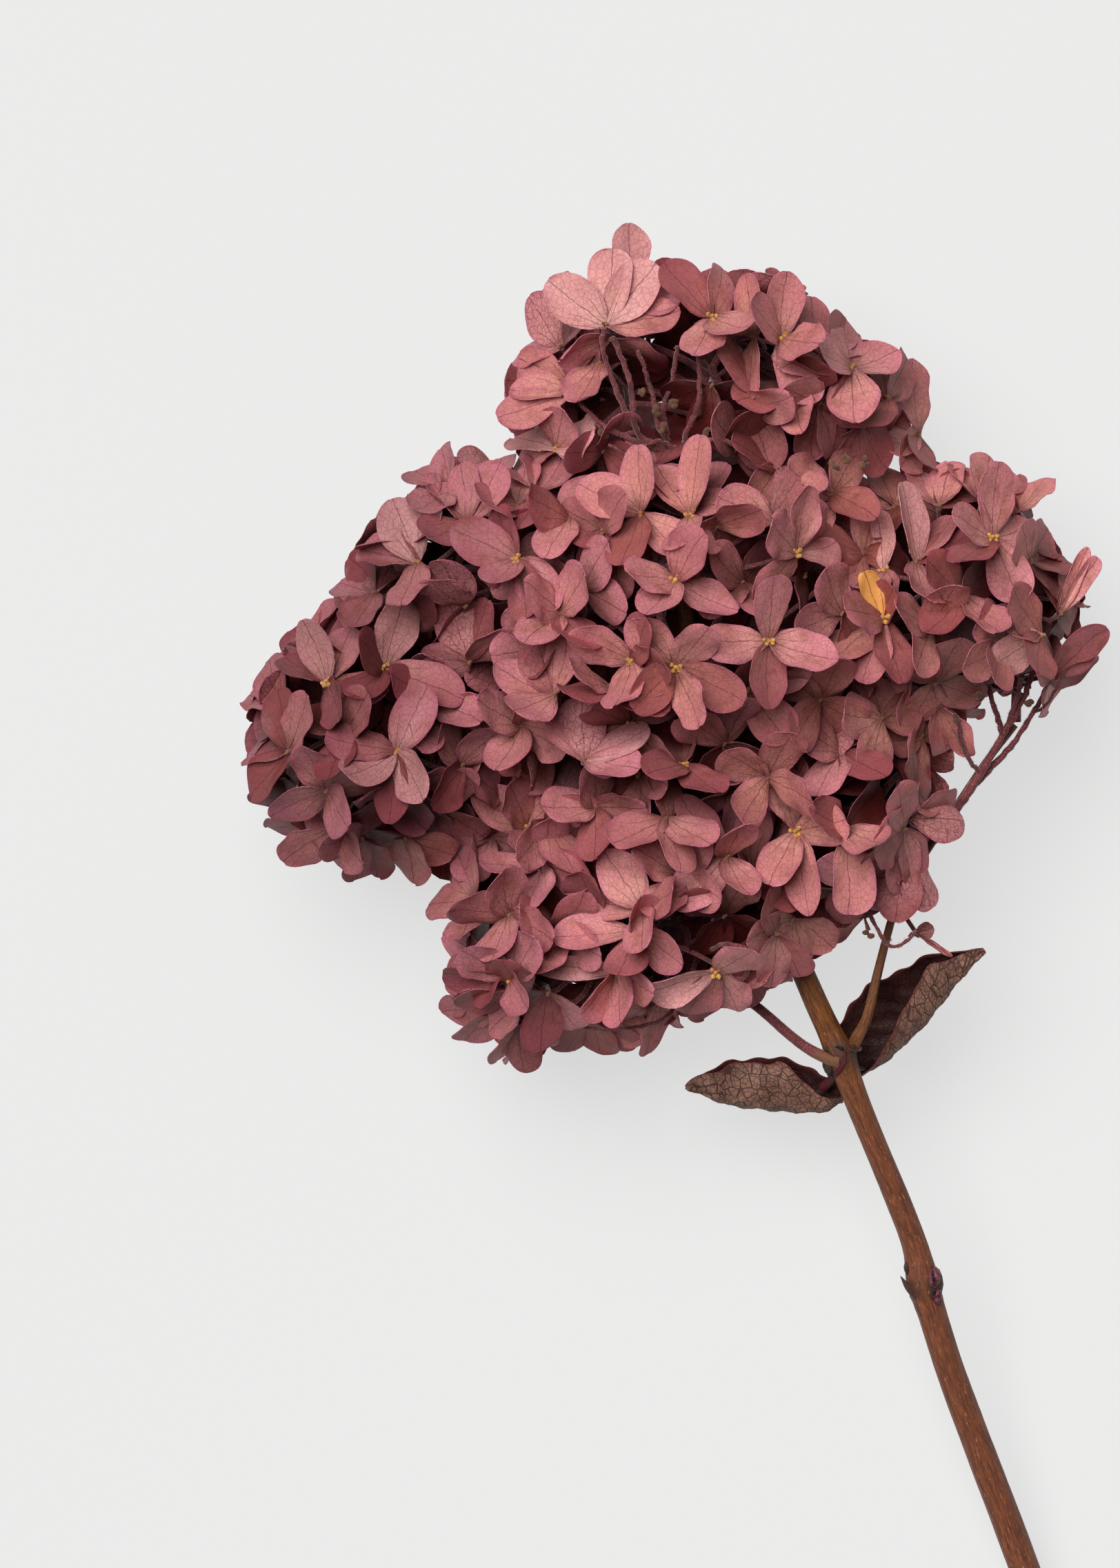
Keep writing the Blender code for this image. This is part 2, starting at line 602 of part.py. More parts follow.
def grow_floret(room, name, hub, facing, sepals, lowest=LOWEST_FREE):
    """The solids of one floret and its stalk, clear of the other sprays, or nothing where none fits."""
    feet = sorted(room.feet[name], key=lambda place: (place - hub).length)
    around = facing.orthogonal().normalized()
    quarters = [Matrix.Rotation(i * math.pi / 2, 3, facing) for i in range(4)]
    sways = [Vector()] + [(quarter @ around) * SWAY for quarter in quarters]
    stalk = None
    for owner in (None, name):
        for foot in feet[:NEAREST_FEET]:
            for sway in sways:
                if stalk is None and room.clear(*guarded_stalk(foot, hub, facing, sway), owner):
                    stalk = pedicel(foot, hub, facing, sway, sepals[0].tips == SEEN_TIPS)
                    used = foot
    if stalk is None:
        return []
    fitted = [fitted_sepal(room, name, hub, sepal, lowest) for sepal in completed(facing, sepals)]
    fitted = [sepal for sepal in fitted if sepal]
    if len(fitted) < 2:
        return []
    plate = sound_plate(room, name, hub, facing, fitted, lowest)
    if plate is None:
        return []
    room.feet[name].remove(used)
    room.add(name, *plate)
    room.add(name, *stalk)
    return [plate, stalk]


def resting_florets(room):
    grown = []
    for name, florets in RESTING_FLORETS.items():
        for (x, y), angle in florets:
            hub = Vector((x, y, REST_HUB_HEIGHT))
            first = math.radians(angle)
            first = turn_round(-UP, Vector((math.cos(first), math.sin(first), 0)))
            sepals = four_hidden(-UP, first, [REST_LIFT] * 4)
            grown.append((name, hub, grow_floret(room, name, hub, -UP, sepals, 0)))
    return grown


def seen_florets(room):
    grown = []
    for name, florets in SEEN_FLORETS.items():
        for (x, y), depth, (face_x, face_y), measures in florets:
            facing = Vector((face_x, face_y, math.sqrt(1 - face_x**2 - face_y**2)))
            hub = Vector((x, y, head_top(x, y) - depth - 4))
            sepals = [seen_sepal(facing, *measure) for measure in measures]
            grown.append((name, hub, grow_floret(room, name, hub, facing, sepals)))
    return grown


def four_hidden(facing, first, lifts):
    """Four sepals a quarter turn apart, each with its lift."""
    sepals = []
    for i, lift in enumerate(lifts):
        turn = first + i * math.pi / 2
        sepals.append(turned_sepal(facing, turn, lift, HIDDEN_SEPAL_LENGTH, HIDDEN_SEPAL_WIDTH))
    return sepals


def hidden_florets(room, hubs):
    """Florets round the sides and the underside of each lobe, where nothing is seen from above."""
    draw = random.Random(SHAPE_SEED)
    grown = []
    highest, lowest = HIDDEN_HEIGHTS
    for name, (centre, radii, _) in LOBES.items():
        if name == "spray_centre":
            continue
        for i in range(HIDDEN_TRIES):
            height = highest + (lowest - highest) * i / HIDDEN_TRIES
            level = math.sqrt(1 - height**2)
            turn = GOLDEN_ANGLE * i + draw.uniform(-0.2, 0.2)
            way = Vector((level * math.cos(turn), level * math.sin(turn), height))
            hub = Vector(c + r * w * shell for c, r, w, shell in zip(centre, radii, way, HIDDEN_SHELL))
            facing = Vector(w / r for r, w in zip(radii, way)).normalized()
            if hub.z < HIDDEN_LOWEST_HUB or inside_another(name, hub):
                continue
            if min((hub - other).length for other in hubs) < HIDDEN_SPACING:
                continue
            first = draw.uniform(0, math.pi / 2)
            sepals = four_hidden(facing, first, [draw.uniform(0, 0.35) for _ in range(4)])
            solids = grow_floret(room, name, hub, facing, sepals)
            if solids:
                hubs.append(hub)
                grown.append((name, hub, solids))
    return grown


def inside_another(name, place):
    """Whether a place lies deep in a lobe other than its own."""
    for centre, radii, _ in LOBES.values():
        if centre == LOBES[name].centre:
            continue
        if sum(((p - c) / r) ** 2 for p, c, r in zip(place, centre, radii)) < INSIDE_SHARE:
            return True
    return False


def fuse(name, solids, finish):
    """Join closed solids that cross into one closed body, by a Boolean union."""
    whole = add_object(name, *solids[0], finish)
    others = bpy.data.collections.new(name + "_pieces")
    bpy.context.scene.collection.children.link(others)
    for i, (points, faces) in enumerate(solids[1:]):
        piece = add_object(f"{name}_piece_{i}", points, faces)
        bpy.context.scene.collection.objects.unlink(piece)
        others.objects.link(piece)
    union = whole.modifiers.new("Union", "BOOLEAN")
    union.operation = "UNION"
    union.operand_type = "COLLECTION"
    union.collection = others
    union.solver = "EXACT"
    graph = bpy.context.evaluated_depsgraph_get()
    joined = bpy.data.meshes.new_from_object(whole.evaluated_get(graph))
    whole.modifiers.clear()
    whole.data = joined
    for piece in list(others.objects):
        bpy.data.objects.remove(piece, do_unlink=True)
    bpy.data.collections.remove(others)
    keep_largest_body(joined)
    return whole


def keep_largest_body(mesh):
    """Split the faces into triangles, and drop loose scraps and the skins of sealed hollows."""
    shape = bmesh.new()
    shape.from_mesh(mesh)
    bmesh.ops.triangulate(shape, faces=shape.faces)
    unseen = set(shape.verts)
    bodies = []
    while unseen:
        body = set()
        waiting = [unseen.pop()]
        while waiting:
            corner = waiting.pop()
            body.add(corner)
            linked = {edge.other_vert(corner) for edge in corner.link_edges} & unseen
            unseen -= linked
            waiting.extend(linked)
        bodies.append(body)
    bodies.sort(key=len, reverse=True)
    for body in bodies[1:]:
        bmesh.ops.delete(shape, geom=list(body), context="VERTS")
    shape.to_mesh(mesh)
    shape.free()


def low_ball(centre, radii):
    """A low ball, stretched to three radii."""
    shape = bmesh.new()
    bmesh.ops.create_icosphere(shape, subdivisions=1, radius=1)
    points = [Vector(c + v * r for c, v, r in zip(centre, vert.co, radii)) for vert in shape.verts]
    faces = [tuple(vert.index for vert in face.verts) for face in shape.faces]
    shape.free()
    return points, faces


def make_stem(wood, room):
    route = smooth_route(STEM_ROUTE, 20)
    points, faces = tube(route, STEM_SIDES, CUT_SLANT)
    points = [Vector((point.x, point.y, max(point.z, 0))) for point in points]
    solids = [(points, faces), tube([(Vector(place), radius) for place, radius in BUD_SCALE], 4)]
    solids.append(low_ball(*LEAF_SCAR))
    for solid in solids:
        room.add("stem", *solid)
    stem = fuse("stem", solids, wood)
    stem.data.shade_smooth()


def make_shoot(name, stations, finish, room):
    solid = tube(smooth_route(stations, 7), 6)
    room.add(name, *solid)
    shoot = add_object(name, *solid, finish)
    shoot.data.shade_smooth()


def leaf_sheet(spine, across, seen_width, height, arc_from, arc_to):
    """A leaf rolled into a trough, from the spine at its seen edge across to its open side."""
    points, faces = [], []
    for i in range(LEAF_STATIONS):
        u = i / (LEAF_STATIONS - 1)
        swell = max(0.24, math.sin(math.pi * (0.08 + 0.9 * u)) ** 0.75)
        place = spine_place(spine, u)
        for j in range(LEAF_STEPS_ACROSS):
            turn = math.radians(arc_from + (arc_to - arc_from) * j / (LEAF_STEPS_ACROSS - 1))
            out = seen_width / 2 * swell * (1 - math.cos(turn))
            rise = height / 2 * swell * math.sin(turn)
            points.append(place + across * out + UP * rise)
    for i in range(LEAF_STATIONS - 1):
        for j in range(LEAF_STEPS_ACROSS - 1):
            a = i * LEAF_STEPS_ACROSS + j
            b = a + LEAF_STEPS_ACROSS
            faces += [(a, a + 1, b), (a + 1, b + 1, b)]
    return offset_solid(points, faces, LEAF_THICKNESS, 0)


def spine_place(spine, u):
    route = smooth_route([(place, 1) for place in spine], 2)
    return route[round(u * (len(route) - 1))][0]


def make_leaf(name, sheet, stalk, finish, room):
    solids = [sheet, tube(smooth_route(stalk, 5), 6)]
    for solid in solids:
        room.add(name, *solid)
    return fuse(name, solids, finish)


def make_leaves(finish, room):
    right = leaf_sheet(
        [(41.8, -98.6, 36.5), (47.3, -95.2, 38.5), (56, -86.5, 43), (62.2, -78.3, 47.5), (69, -70.5, 51)],
        Vector((-0.66, 0.72, 0.2)).normalized(),
        seen_width=17,
        height=10,
        arc_from=-150,
        arc_to=95,
    )
    right_stalk = [((39.8, -96.7, 43), 1.0), ((42.2, -96.2, 41), 1.2), ((45, -93.5, 38), 1.0)]
    make_leaf("leaf_right", right, right_stalk, finish, room)
    left = leaf_sheet(
        [(34.6, -106, 37.2), (30, -108.2, 36.5), (16, -107.4, 34), (8.5, -106.2, 33), (-0.6, -102.6, 32)],
        Vector((0.05, 0.98, 0.2)).normalized(),
        seen_width=14,
        height=9,
        arc_from=-125,
        arc_to=125,
    )
    left_stalk = [
        ((32.7, -98.3, 42.7), 1.2),
        ((31.8, -100, 40), 1.2),
        ((30, -102.5, 36.5), 1.2),
        ((27.5, -104.5, 33), 1.0),
    ]
    make_leaf("leaf_left", left, left_stalk, finish, room)


def make_sprays(finish, room):
    rays = {}
    for name, lobe in LOBES.items():
        stations = [(place, RAY_RADIUS) for place in lobe.ray]
        rays[name] = tube(smooth_route(stations, 12), 6)
        room.add(name, *rays[name])
        feet = smooth_route(stations, FOOT_SPACING)
        room.feet[name] = [place for place, _ in feet[len(feet) // 4 : -1]]
    grown = resting_florets(room)
    grown += seen_florets(room)
    hubs = [hub for _, hub, solids in grown if solids]
    grown += hidden_florets(room, hubs)
    for name, ray in rays.items():
        solids = [ray]
        for owner, _, floret in grown:
            if owner == name:
                solids += floret
        fuse(name, solids, finish)


def main():
    clear_scene()
    room = Room()
    wood = material("dried wood", WOOD_BROWN, 0.6)
    plum = material("plum stalk", PLUM, 0.6)
    leaf = material("dried leaf", LEAF_BROWN, 0.65)
    pink = material("dried sepals", DRIED_PINK, 0.7)
    make_stem(wood, room)
    make_shoot("side_shoot_right", SIDE_SHOOT_RIGHT, wood, room)
    make_shoot("side_shoot_left", SIDE_SHOOT_LEFT, plum, room)
    make_leaves(leaf, room)
    make_sprays(pink, room)


main()
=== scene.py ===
"""The looks of a preserved hydrangea stem lying on a pale surface, seen from straight above.

Places are in millimetres, seen from above with the middle of the head at 0, 0 and X to the right. They are
turned so that the stem runs along -Y, as in the solids.
"""

import math

import bpy
import numpy as np
from mathutils import Matrix, Vector

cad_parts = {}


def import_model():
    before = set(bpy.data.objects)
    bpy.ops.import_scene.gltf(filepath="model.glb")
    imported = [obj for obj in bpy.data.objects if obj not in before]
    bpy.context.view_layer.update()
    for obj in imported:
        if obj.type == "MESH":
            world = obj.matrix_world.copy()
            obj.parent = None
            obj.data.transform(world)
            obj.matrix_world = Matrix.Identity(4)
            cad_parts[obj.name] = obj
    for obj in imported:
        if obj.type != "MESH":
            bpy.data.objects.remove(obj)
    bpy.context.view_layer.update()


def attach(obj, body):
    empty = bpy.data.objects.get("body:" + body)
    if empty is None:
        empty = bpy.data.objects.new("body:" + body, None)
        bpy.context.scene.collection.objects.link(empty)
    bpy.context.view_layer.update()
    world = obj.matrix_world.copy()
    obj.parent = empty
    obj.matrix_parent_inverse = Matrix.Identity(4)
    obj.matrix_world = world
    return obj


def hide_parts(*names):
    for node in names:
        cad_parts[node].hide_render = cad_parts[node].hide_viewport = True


MM = 0.001
UP = np.array((0.0, 0.0, 1.0))
STEM_TURN_ANGLE = math.radians(-20.5)
STEM_TURN = np.array(Matrix.Rotation(STEM_TURN_ANGLE, 3, "Z"))
GOLDEN_ANGLE = math.pi * (3 - math.sqrt(5))
LOWEST_POINT = 0.12

# Camera: straight above, far enough off for the head to look flat
PHOTO_CENTRE = (-30.1, -31.5)
PHOTO_HEIGHT = 363.8
CAMERA_DISTANCE = 5000.0
CAMERA_FOCUS_HEIGHT = 78.0
SENSOR = 36.0

# Light: a broad sun from the upper left and high above, a faint sky, and the surface's own glow
KEY_DIRECTION = np.array((0.24, -0.3, -0.92))
KEY_STRENGTH = 4.2
KEY_ANGLE = 40
SKY_STRENGTH = 0.07
FLOOR_GLOW = 0.66
FLOOR_REACH = 6.0

# Sepals: a fine or coarse one's points along and across, its narrowest share of the width at the foot, how
# far the tip reaches, the steps of its bend, its least cup, and how far one departs from a flat shape
SEPAL_LENGTH = 16.0
SEPAL_WIDTH = 11.5
SEPAL_THICKNESS = 0.26
FINE_SEPAL = (13, 9)
COARSE_SEPAL = (8, 5)
SEPAL_FOOT = 0.1
SEPAL_TIP = 0.992
BEND_STEPS = 60
FLATTEST_CUP = 0.02
SEEN_WILDNESS = 0.5
HIDDEN_WILDNESS = 0.8

# Florets: how far a hub is below the lobe's top or above the surface, and the folds that keep a sepal inside
HUB_GAP = 3.0
RESTING_HUB = 5.0
LOWEST_HUB = 9
FOLDS = (0, 0.5, -0.5, 0.9, -0.9)

# Hidden florets: the shares of a lobe's height that they start at and go down by, the share that its upper
# side starts at, how far out they are above and below it, how near they come, and when another lobe covers them
HIDDEN_TRIES = 150
HIDDEN_TOP = 0.92
HIDDEN_SPAN = 1.9
UPPER_SIDE = 0.1
UPPER_SHELL = (0.72, 0.72, 0.72)
LOWER_SHELL = (0.84, 0.84, 0.98)
UPPER_SPACING = 13
LOWER_SPACING = 17
COVERED = 0.6

# Florets in a ring round a resting one, and in the core of a lobe: the area of each, how far out and how low
LOW_RING = 5
LOW_RING_REACH = 13
LOW_RING_RISE = (9, 14)
CORE_AREA = 90
CORE_REACH = 0.8
CORE_DROP = 6

# Stalks: radii from foot to tip, the cushion under a floret, and the florets that share a branch
RAY_RADII = (1.25, 0.85)
BRANCH_RADII = (0.95, 0.8)
PEDICEL_RADII = (0.6, 0.5)
CUSHION_RADIUS = 0.9
GROUP_SIZE = 4
GROUP_REACH = 24

# Colour: where inside a lobe the painted shade starts and how far it takes to be full, as shares of its radii,
# how much painted shadow the left side gets, and a floret's tone at the middle, its change to the sides and its
# scatter
DEPTH_SHADE_START = 0.91
DEPTH_SHADE_SPAN = 0.23
LEFT_SHADOW = 0.45
LEFT_START = -30
LEFT_SPAN = 40
TONE_MIDDLE = 0.45
TONE_SPAN = 220
TONE_SCATTER = 0.26

# Materials: one step of the growth map in millimetres, texture steps to a millimetre, how far apart the
# textures of single sepals lie, sheen and translucence
UV_SPAN = 30.0
TEXTURE_SHIFT = 97.0
PER_MM = (1000, 1000, 1000)
SHEEN_ROUGHNESS = 0.4
SEPAL_SEE_THROUGH = 0.24

# The head's outline seen from above, which the hidden florets keep inside
HEAD_OUTLINE = [
    (-13.5, 99), (-9, 92), (-4, 91), (2.5, 85), (7, 88.5), (12, 89), (22, 88.5), (29, 83), (29.8, 75),
    (33.5, 74), (35, 77), (39.5, 76), (40.5, 69), (46, 69.5), (52, 68), (56, 60), (56, 47), (61, 46),
    (68, 44), (76, 42), (83.5, 40), (79.5, 29), (84, 27), (86, 21), (92, 24), (95, 21), (90, 10), (97.5, 7),
    (93, -3), (85, -10), (78, -13), (68, -19), (66, -29), (59, -34), (64, -40), (55, -46), (55, -62),
    (48, -63), (38, -61), (36, -67), (29, -73), (22, -77), (16, -83), (8, -85), (0, -87), (-6, -90),
    (-9, -94), (-22, -94), (-31, -94), (-36, -98), (-45, -97), (-50, -91), (-57, -87), (-58, -80), (-55, -70),
    (-52, -60), (-60, -52), (-70, -52), (-82, -50), (-96, -46), (-103, -38), (-104, -22), (-102, -2),
    (-93, 11), (-82, 17), (-77, 25), (-71, 32), (-64, 40), (-58, 43), (-51, 46), (-45, 42), (-41, 47),
    (-46, 53), (-44, 61), (-41, 69), (-40, 80), (-33, 88), (-26, 89), (-18, 94),
]

# Bare stalks among the florets, each by its route in x, y, z and radius, and dark dried buds
BARE_STALKS = {
    "spray_top": [
        [(0, 44, 66, 0.9), (-4, 45, 78, 0.8), (-12, 50, 84, 0.7), (-14, 62, 86, 0.6), (-18, 72, 88, 0.6)],
        [(-4, 45, 76, 0.7), (-10, 47, 82, 0.6), (-22, 52, 84, 0.5)],
        [(0, 44, 70, 0.8), (-1, 49, 82, 0.7), (2, 57, 86, 0.6), (2, 68, 88, 0.6)],
        [(-12, 50, 82, 0.7), (-16, 57, 86, 0.6), (-20, 68, 90, 0.5), (-20, 74, 92, 0.6)],
        [(-1, 44, 74, 0.7), (-7, 51, 80, 0.6), (-9, 60, 82, 0.5), (-12, 69, 84, 0.5)],
        [(-4, 45, 74, 0.6), (-6, 54, 78, 0.6), (-4, 63, 80, 0.5), (-3, 70, 84, 0.5)],
        [(-12, 50, 80, 0.6), (-18, 50, 84, 0.5), (-27, 58, 86, 0.5)],
        [(2, 44, 72, 0.7), (6, 50, 80, 0.6), (5, 60, 84, 0.5)],
        [(-2, 46, 80, 0.5), (-8, 48, 84, 0.45), (-14, 45, 86, 0.4), (-19, 47, 86, 0.4)],
        [(0, 48, 84, 0.5), (8, 48, 86, 0.45), (12, 46, 86, 0.4)],
    ],
    "spray_right": [
        [(62, -38, 52, 1.0), (68, -29, 54, 0.9), (73, -20, 56, 0.8), (78, -11, 58, 0.7), (84, 6, 64, 0.6)],
        [(66, -32, 52, 0.8), (74, -24, 53, 0.7), (80, -15, 56, 0.6), (86, -4, 60, 0.5)],
        [(73, -20, 56, 0.7), (70, -10, 60, 0.6), (68, 0, 66, 0.5)],
        [(74, -18, 56, 0.6), (77, -8, 62, 0.5), (75, 2, 68, 0.5)],
        [(78, -11, 58, 0.5), (72, -8, 64, 0.45), (66, -8, 68, 0.4)],
        [(80, -15, 56, 0.5), (84, -12, 60, 0.4), (87, -5, 64, 0.4)],
        [(68, -29, 54, 0.6), (64, -24, 60, 0.5), (62, -16, 66, 0.5)],
    ],
    "spray_lower_right": [
        [(36, -52, 64, 0.6), (40, -57, 72, 0.5), (42, -62, 74, 0.5), (45.5, -68.5, 74, 0.5),
         (48.5, -69.3, 74, 0.4), (51, -67.5, 75, 0.45), (52.4, -65.5, 76, 0.4)],
        [(41, -60, 73, 0.4), (40.6, -63, 74, 0.3), (41.5, -65.5, 74, 0.5)],
        [(42, -62, 74, 0.3), (40, -62.6, 75, 0.15)],
        [(46, -68.6, 74, 0.3), (46.8, -67.4, 75.5, 0.12)],
    ],
    "spray_bottom": [
        [(2, -72, 56, 0.6), (-2, -82, 60, 0.5), (-8, -87, 60, 0.5), (-18, -88.6, 58, 0.4),
         (-28, -88, 56, 0.4)],
        [(5, -70, 70, 0.5), (9, -68.5, 76, 0.5), (13.5, -70.5, 77, 0.5), (13, -76, 75, 0.5),
         (9, -77, 72, 0.5)],
    ],
    "spray_bottom_left": [
        [(-24, -72, 56, 0.6), (-28, -77, 62, 0.5), (-33, -80, 66, 0.5), (-36, -76, 66, 0.5),
         (-33, -73, 62, 0.4)],
        [(-22, -74, 54, 0.6), (-25, -81, 58, 0.5), (-31, -83, 60, 0.5)],
    ],
}
DRIED_BUDS = {
    "spray_top": [
        (-8, 55, 83), (-4, 57, 82), (1, 54, 82), (-11, 59, 84), (-6, 51, 83), (4, 50, 83), (-20, 50, 84),
        (36, 44, 84), (40, 43, 84), (33, 42, 83),
    ],
    "spray_right": [(70, -7, 66), (74, -9, 65), (77, -6, 66), (67, -11, 65), (79, -13, 62), (62, -16, 66)],
    "spray_lower_right": [(42, -66.5, 74)],
}
HAIRS_PER_MM = 5
HAIR_LENGTH = 0.55
HAIR_HALF_WIDTH = 0.07

# Where hidden florets stay low, so that bare stalks show: middle, radius and height
THIN_PLACES = [
    ((-9, 57), 13, 66), ((79, -15), 9, 40), ((-46, -24), 6, 62), ((4, -20), 6, 84), ((31, -13), 6, 80),
]

# Places where the surface shows through, each with its radius
SEE_THROUGH = [((-62, -59), 6.5), ((-28.5, -77.5), 2), ((-16, 56), 2), ((-18, 45), 1.5), ((64, -30), 4)]

# The head's lobes, as in the solids: middle, radii and the route of the ray that carries the spray
LOBES = {
    "spray_centre": (
        (-4, 2, 60), (56, 54, 54), [(5, -21, 61), (1, -14, 74), (-4, 0, 86), (-8, 10, 92)],
    ),
    "spray_top": (
        (5, 60, 56), (50, 34, 40), [(-1, 28.35, 59), (0, 44, 58), (3, 60, 58), (8, 70, 60)],
    ),
    "spray_upper_left": (
        (-50, 18, 54), (30, 28, 38), [(-3.2, 10, 59), (-16, 13, 58), (-38, 17, 57), (-54, 19, 58)],
    ),
    "spray_left": (
        (-74, -22, 50), (32, 30, 40), [(-0.5, -8, 57), (-20, -14, 55), (-52, -21, 52), (-76, -25, 52)],
    ),
    "spray_right": (
        (66, 11, 54), (29, 31, 38), [(76.2, -17, 51), (76, -6, 52), (72, 4, 54), (64, 12, 56)],
    ),
    "spray_lower_right": (
        (38, -38, 52), (24, 28, 40), [(15.6, -45, 54), (24, -42, 54), (34, -38, 54), (44, -36, 55)],
    ),
    "spray_bottom": (
        (2, -60, 48), (32, 26, 42), [(14.5, -56, 52), (9, -58, 50), (3, -61, 48), (-4, -64, 48)],
    ),
    "spray_bottom_left": (
        (-36, -68, 45), (22, 27, 40), [(-13, -70.5, 45), (-22, -69, 44), (-32, -68, 44), (-40, -68, 44)],
    ),
    "spray_under": (
        (-4, 2, 60), (56, 54, 54), [(5, -21, 54.6), (2, -16, 44), (-4, -4, 32), (-8, 6, 26)],
    ),
}


def ring(first, *reaches):
    """Sepals at right angles to each other and nine wide."""
    return [(first + 90 * i, reach, 9) for i, reach in enumerate(reaches)]
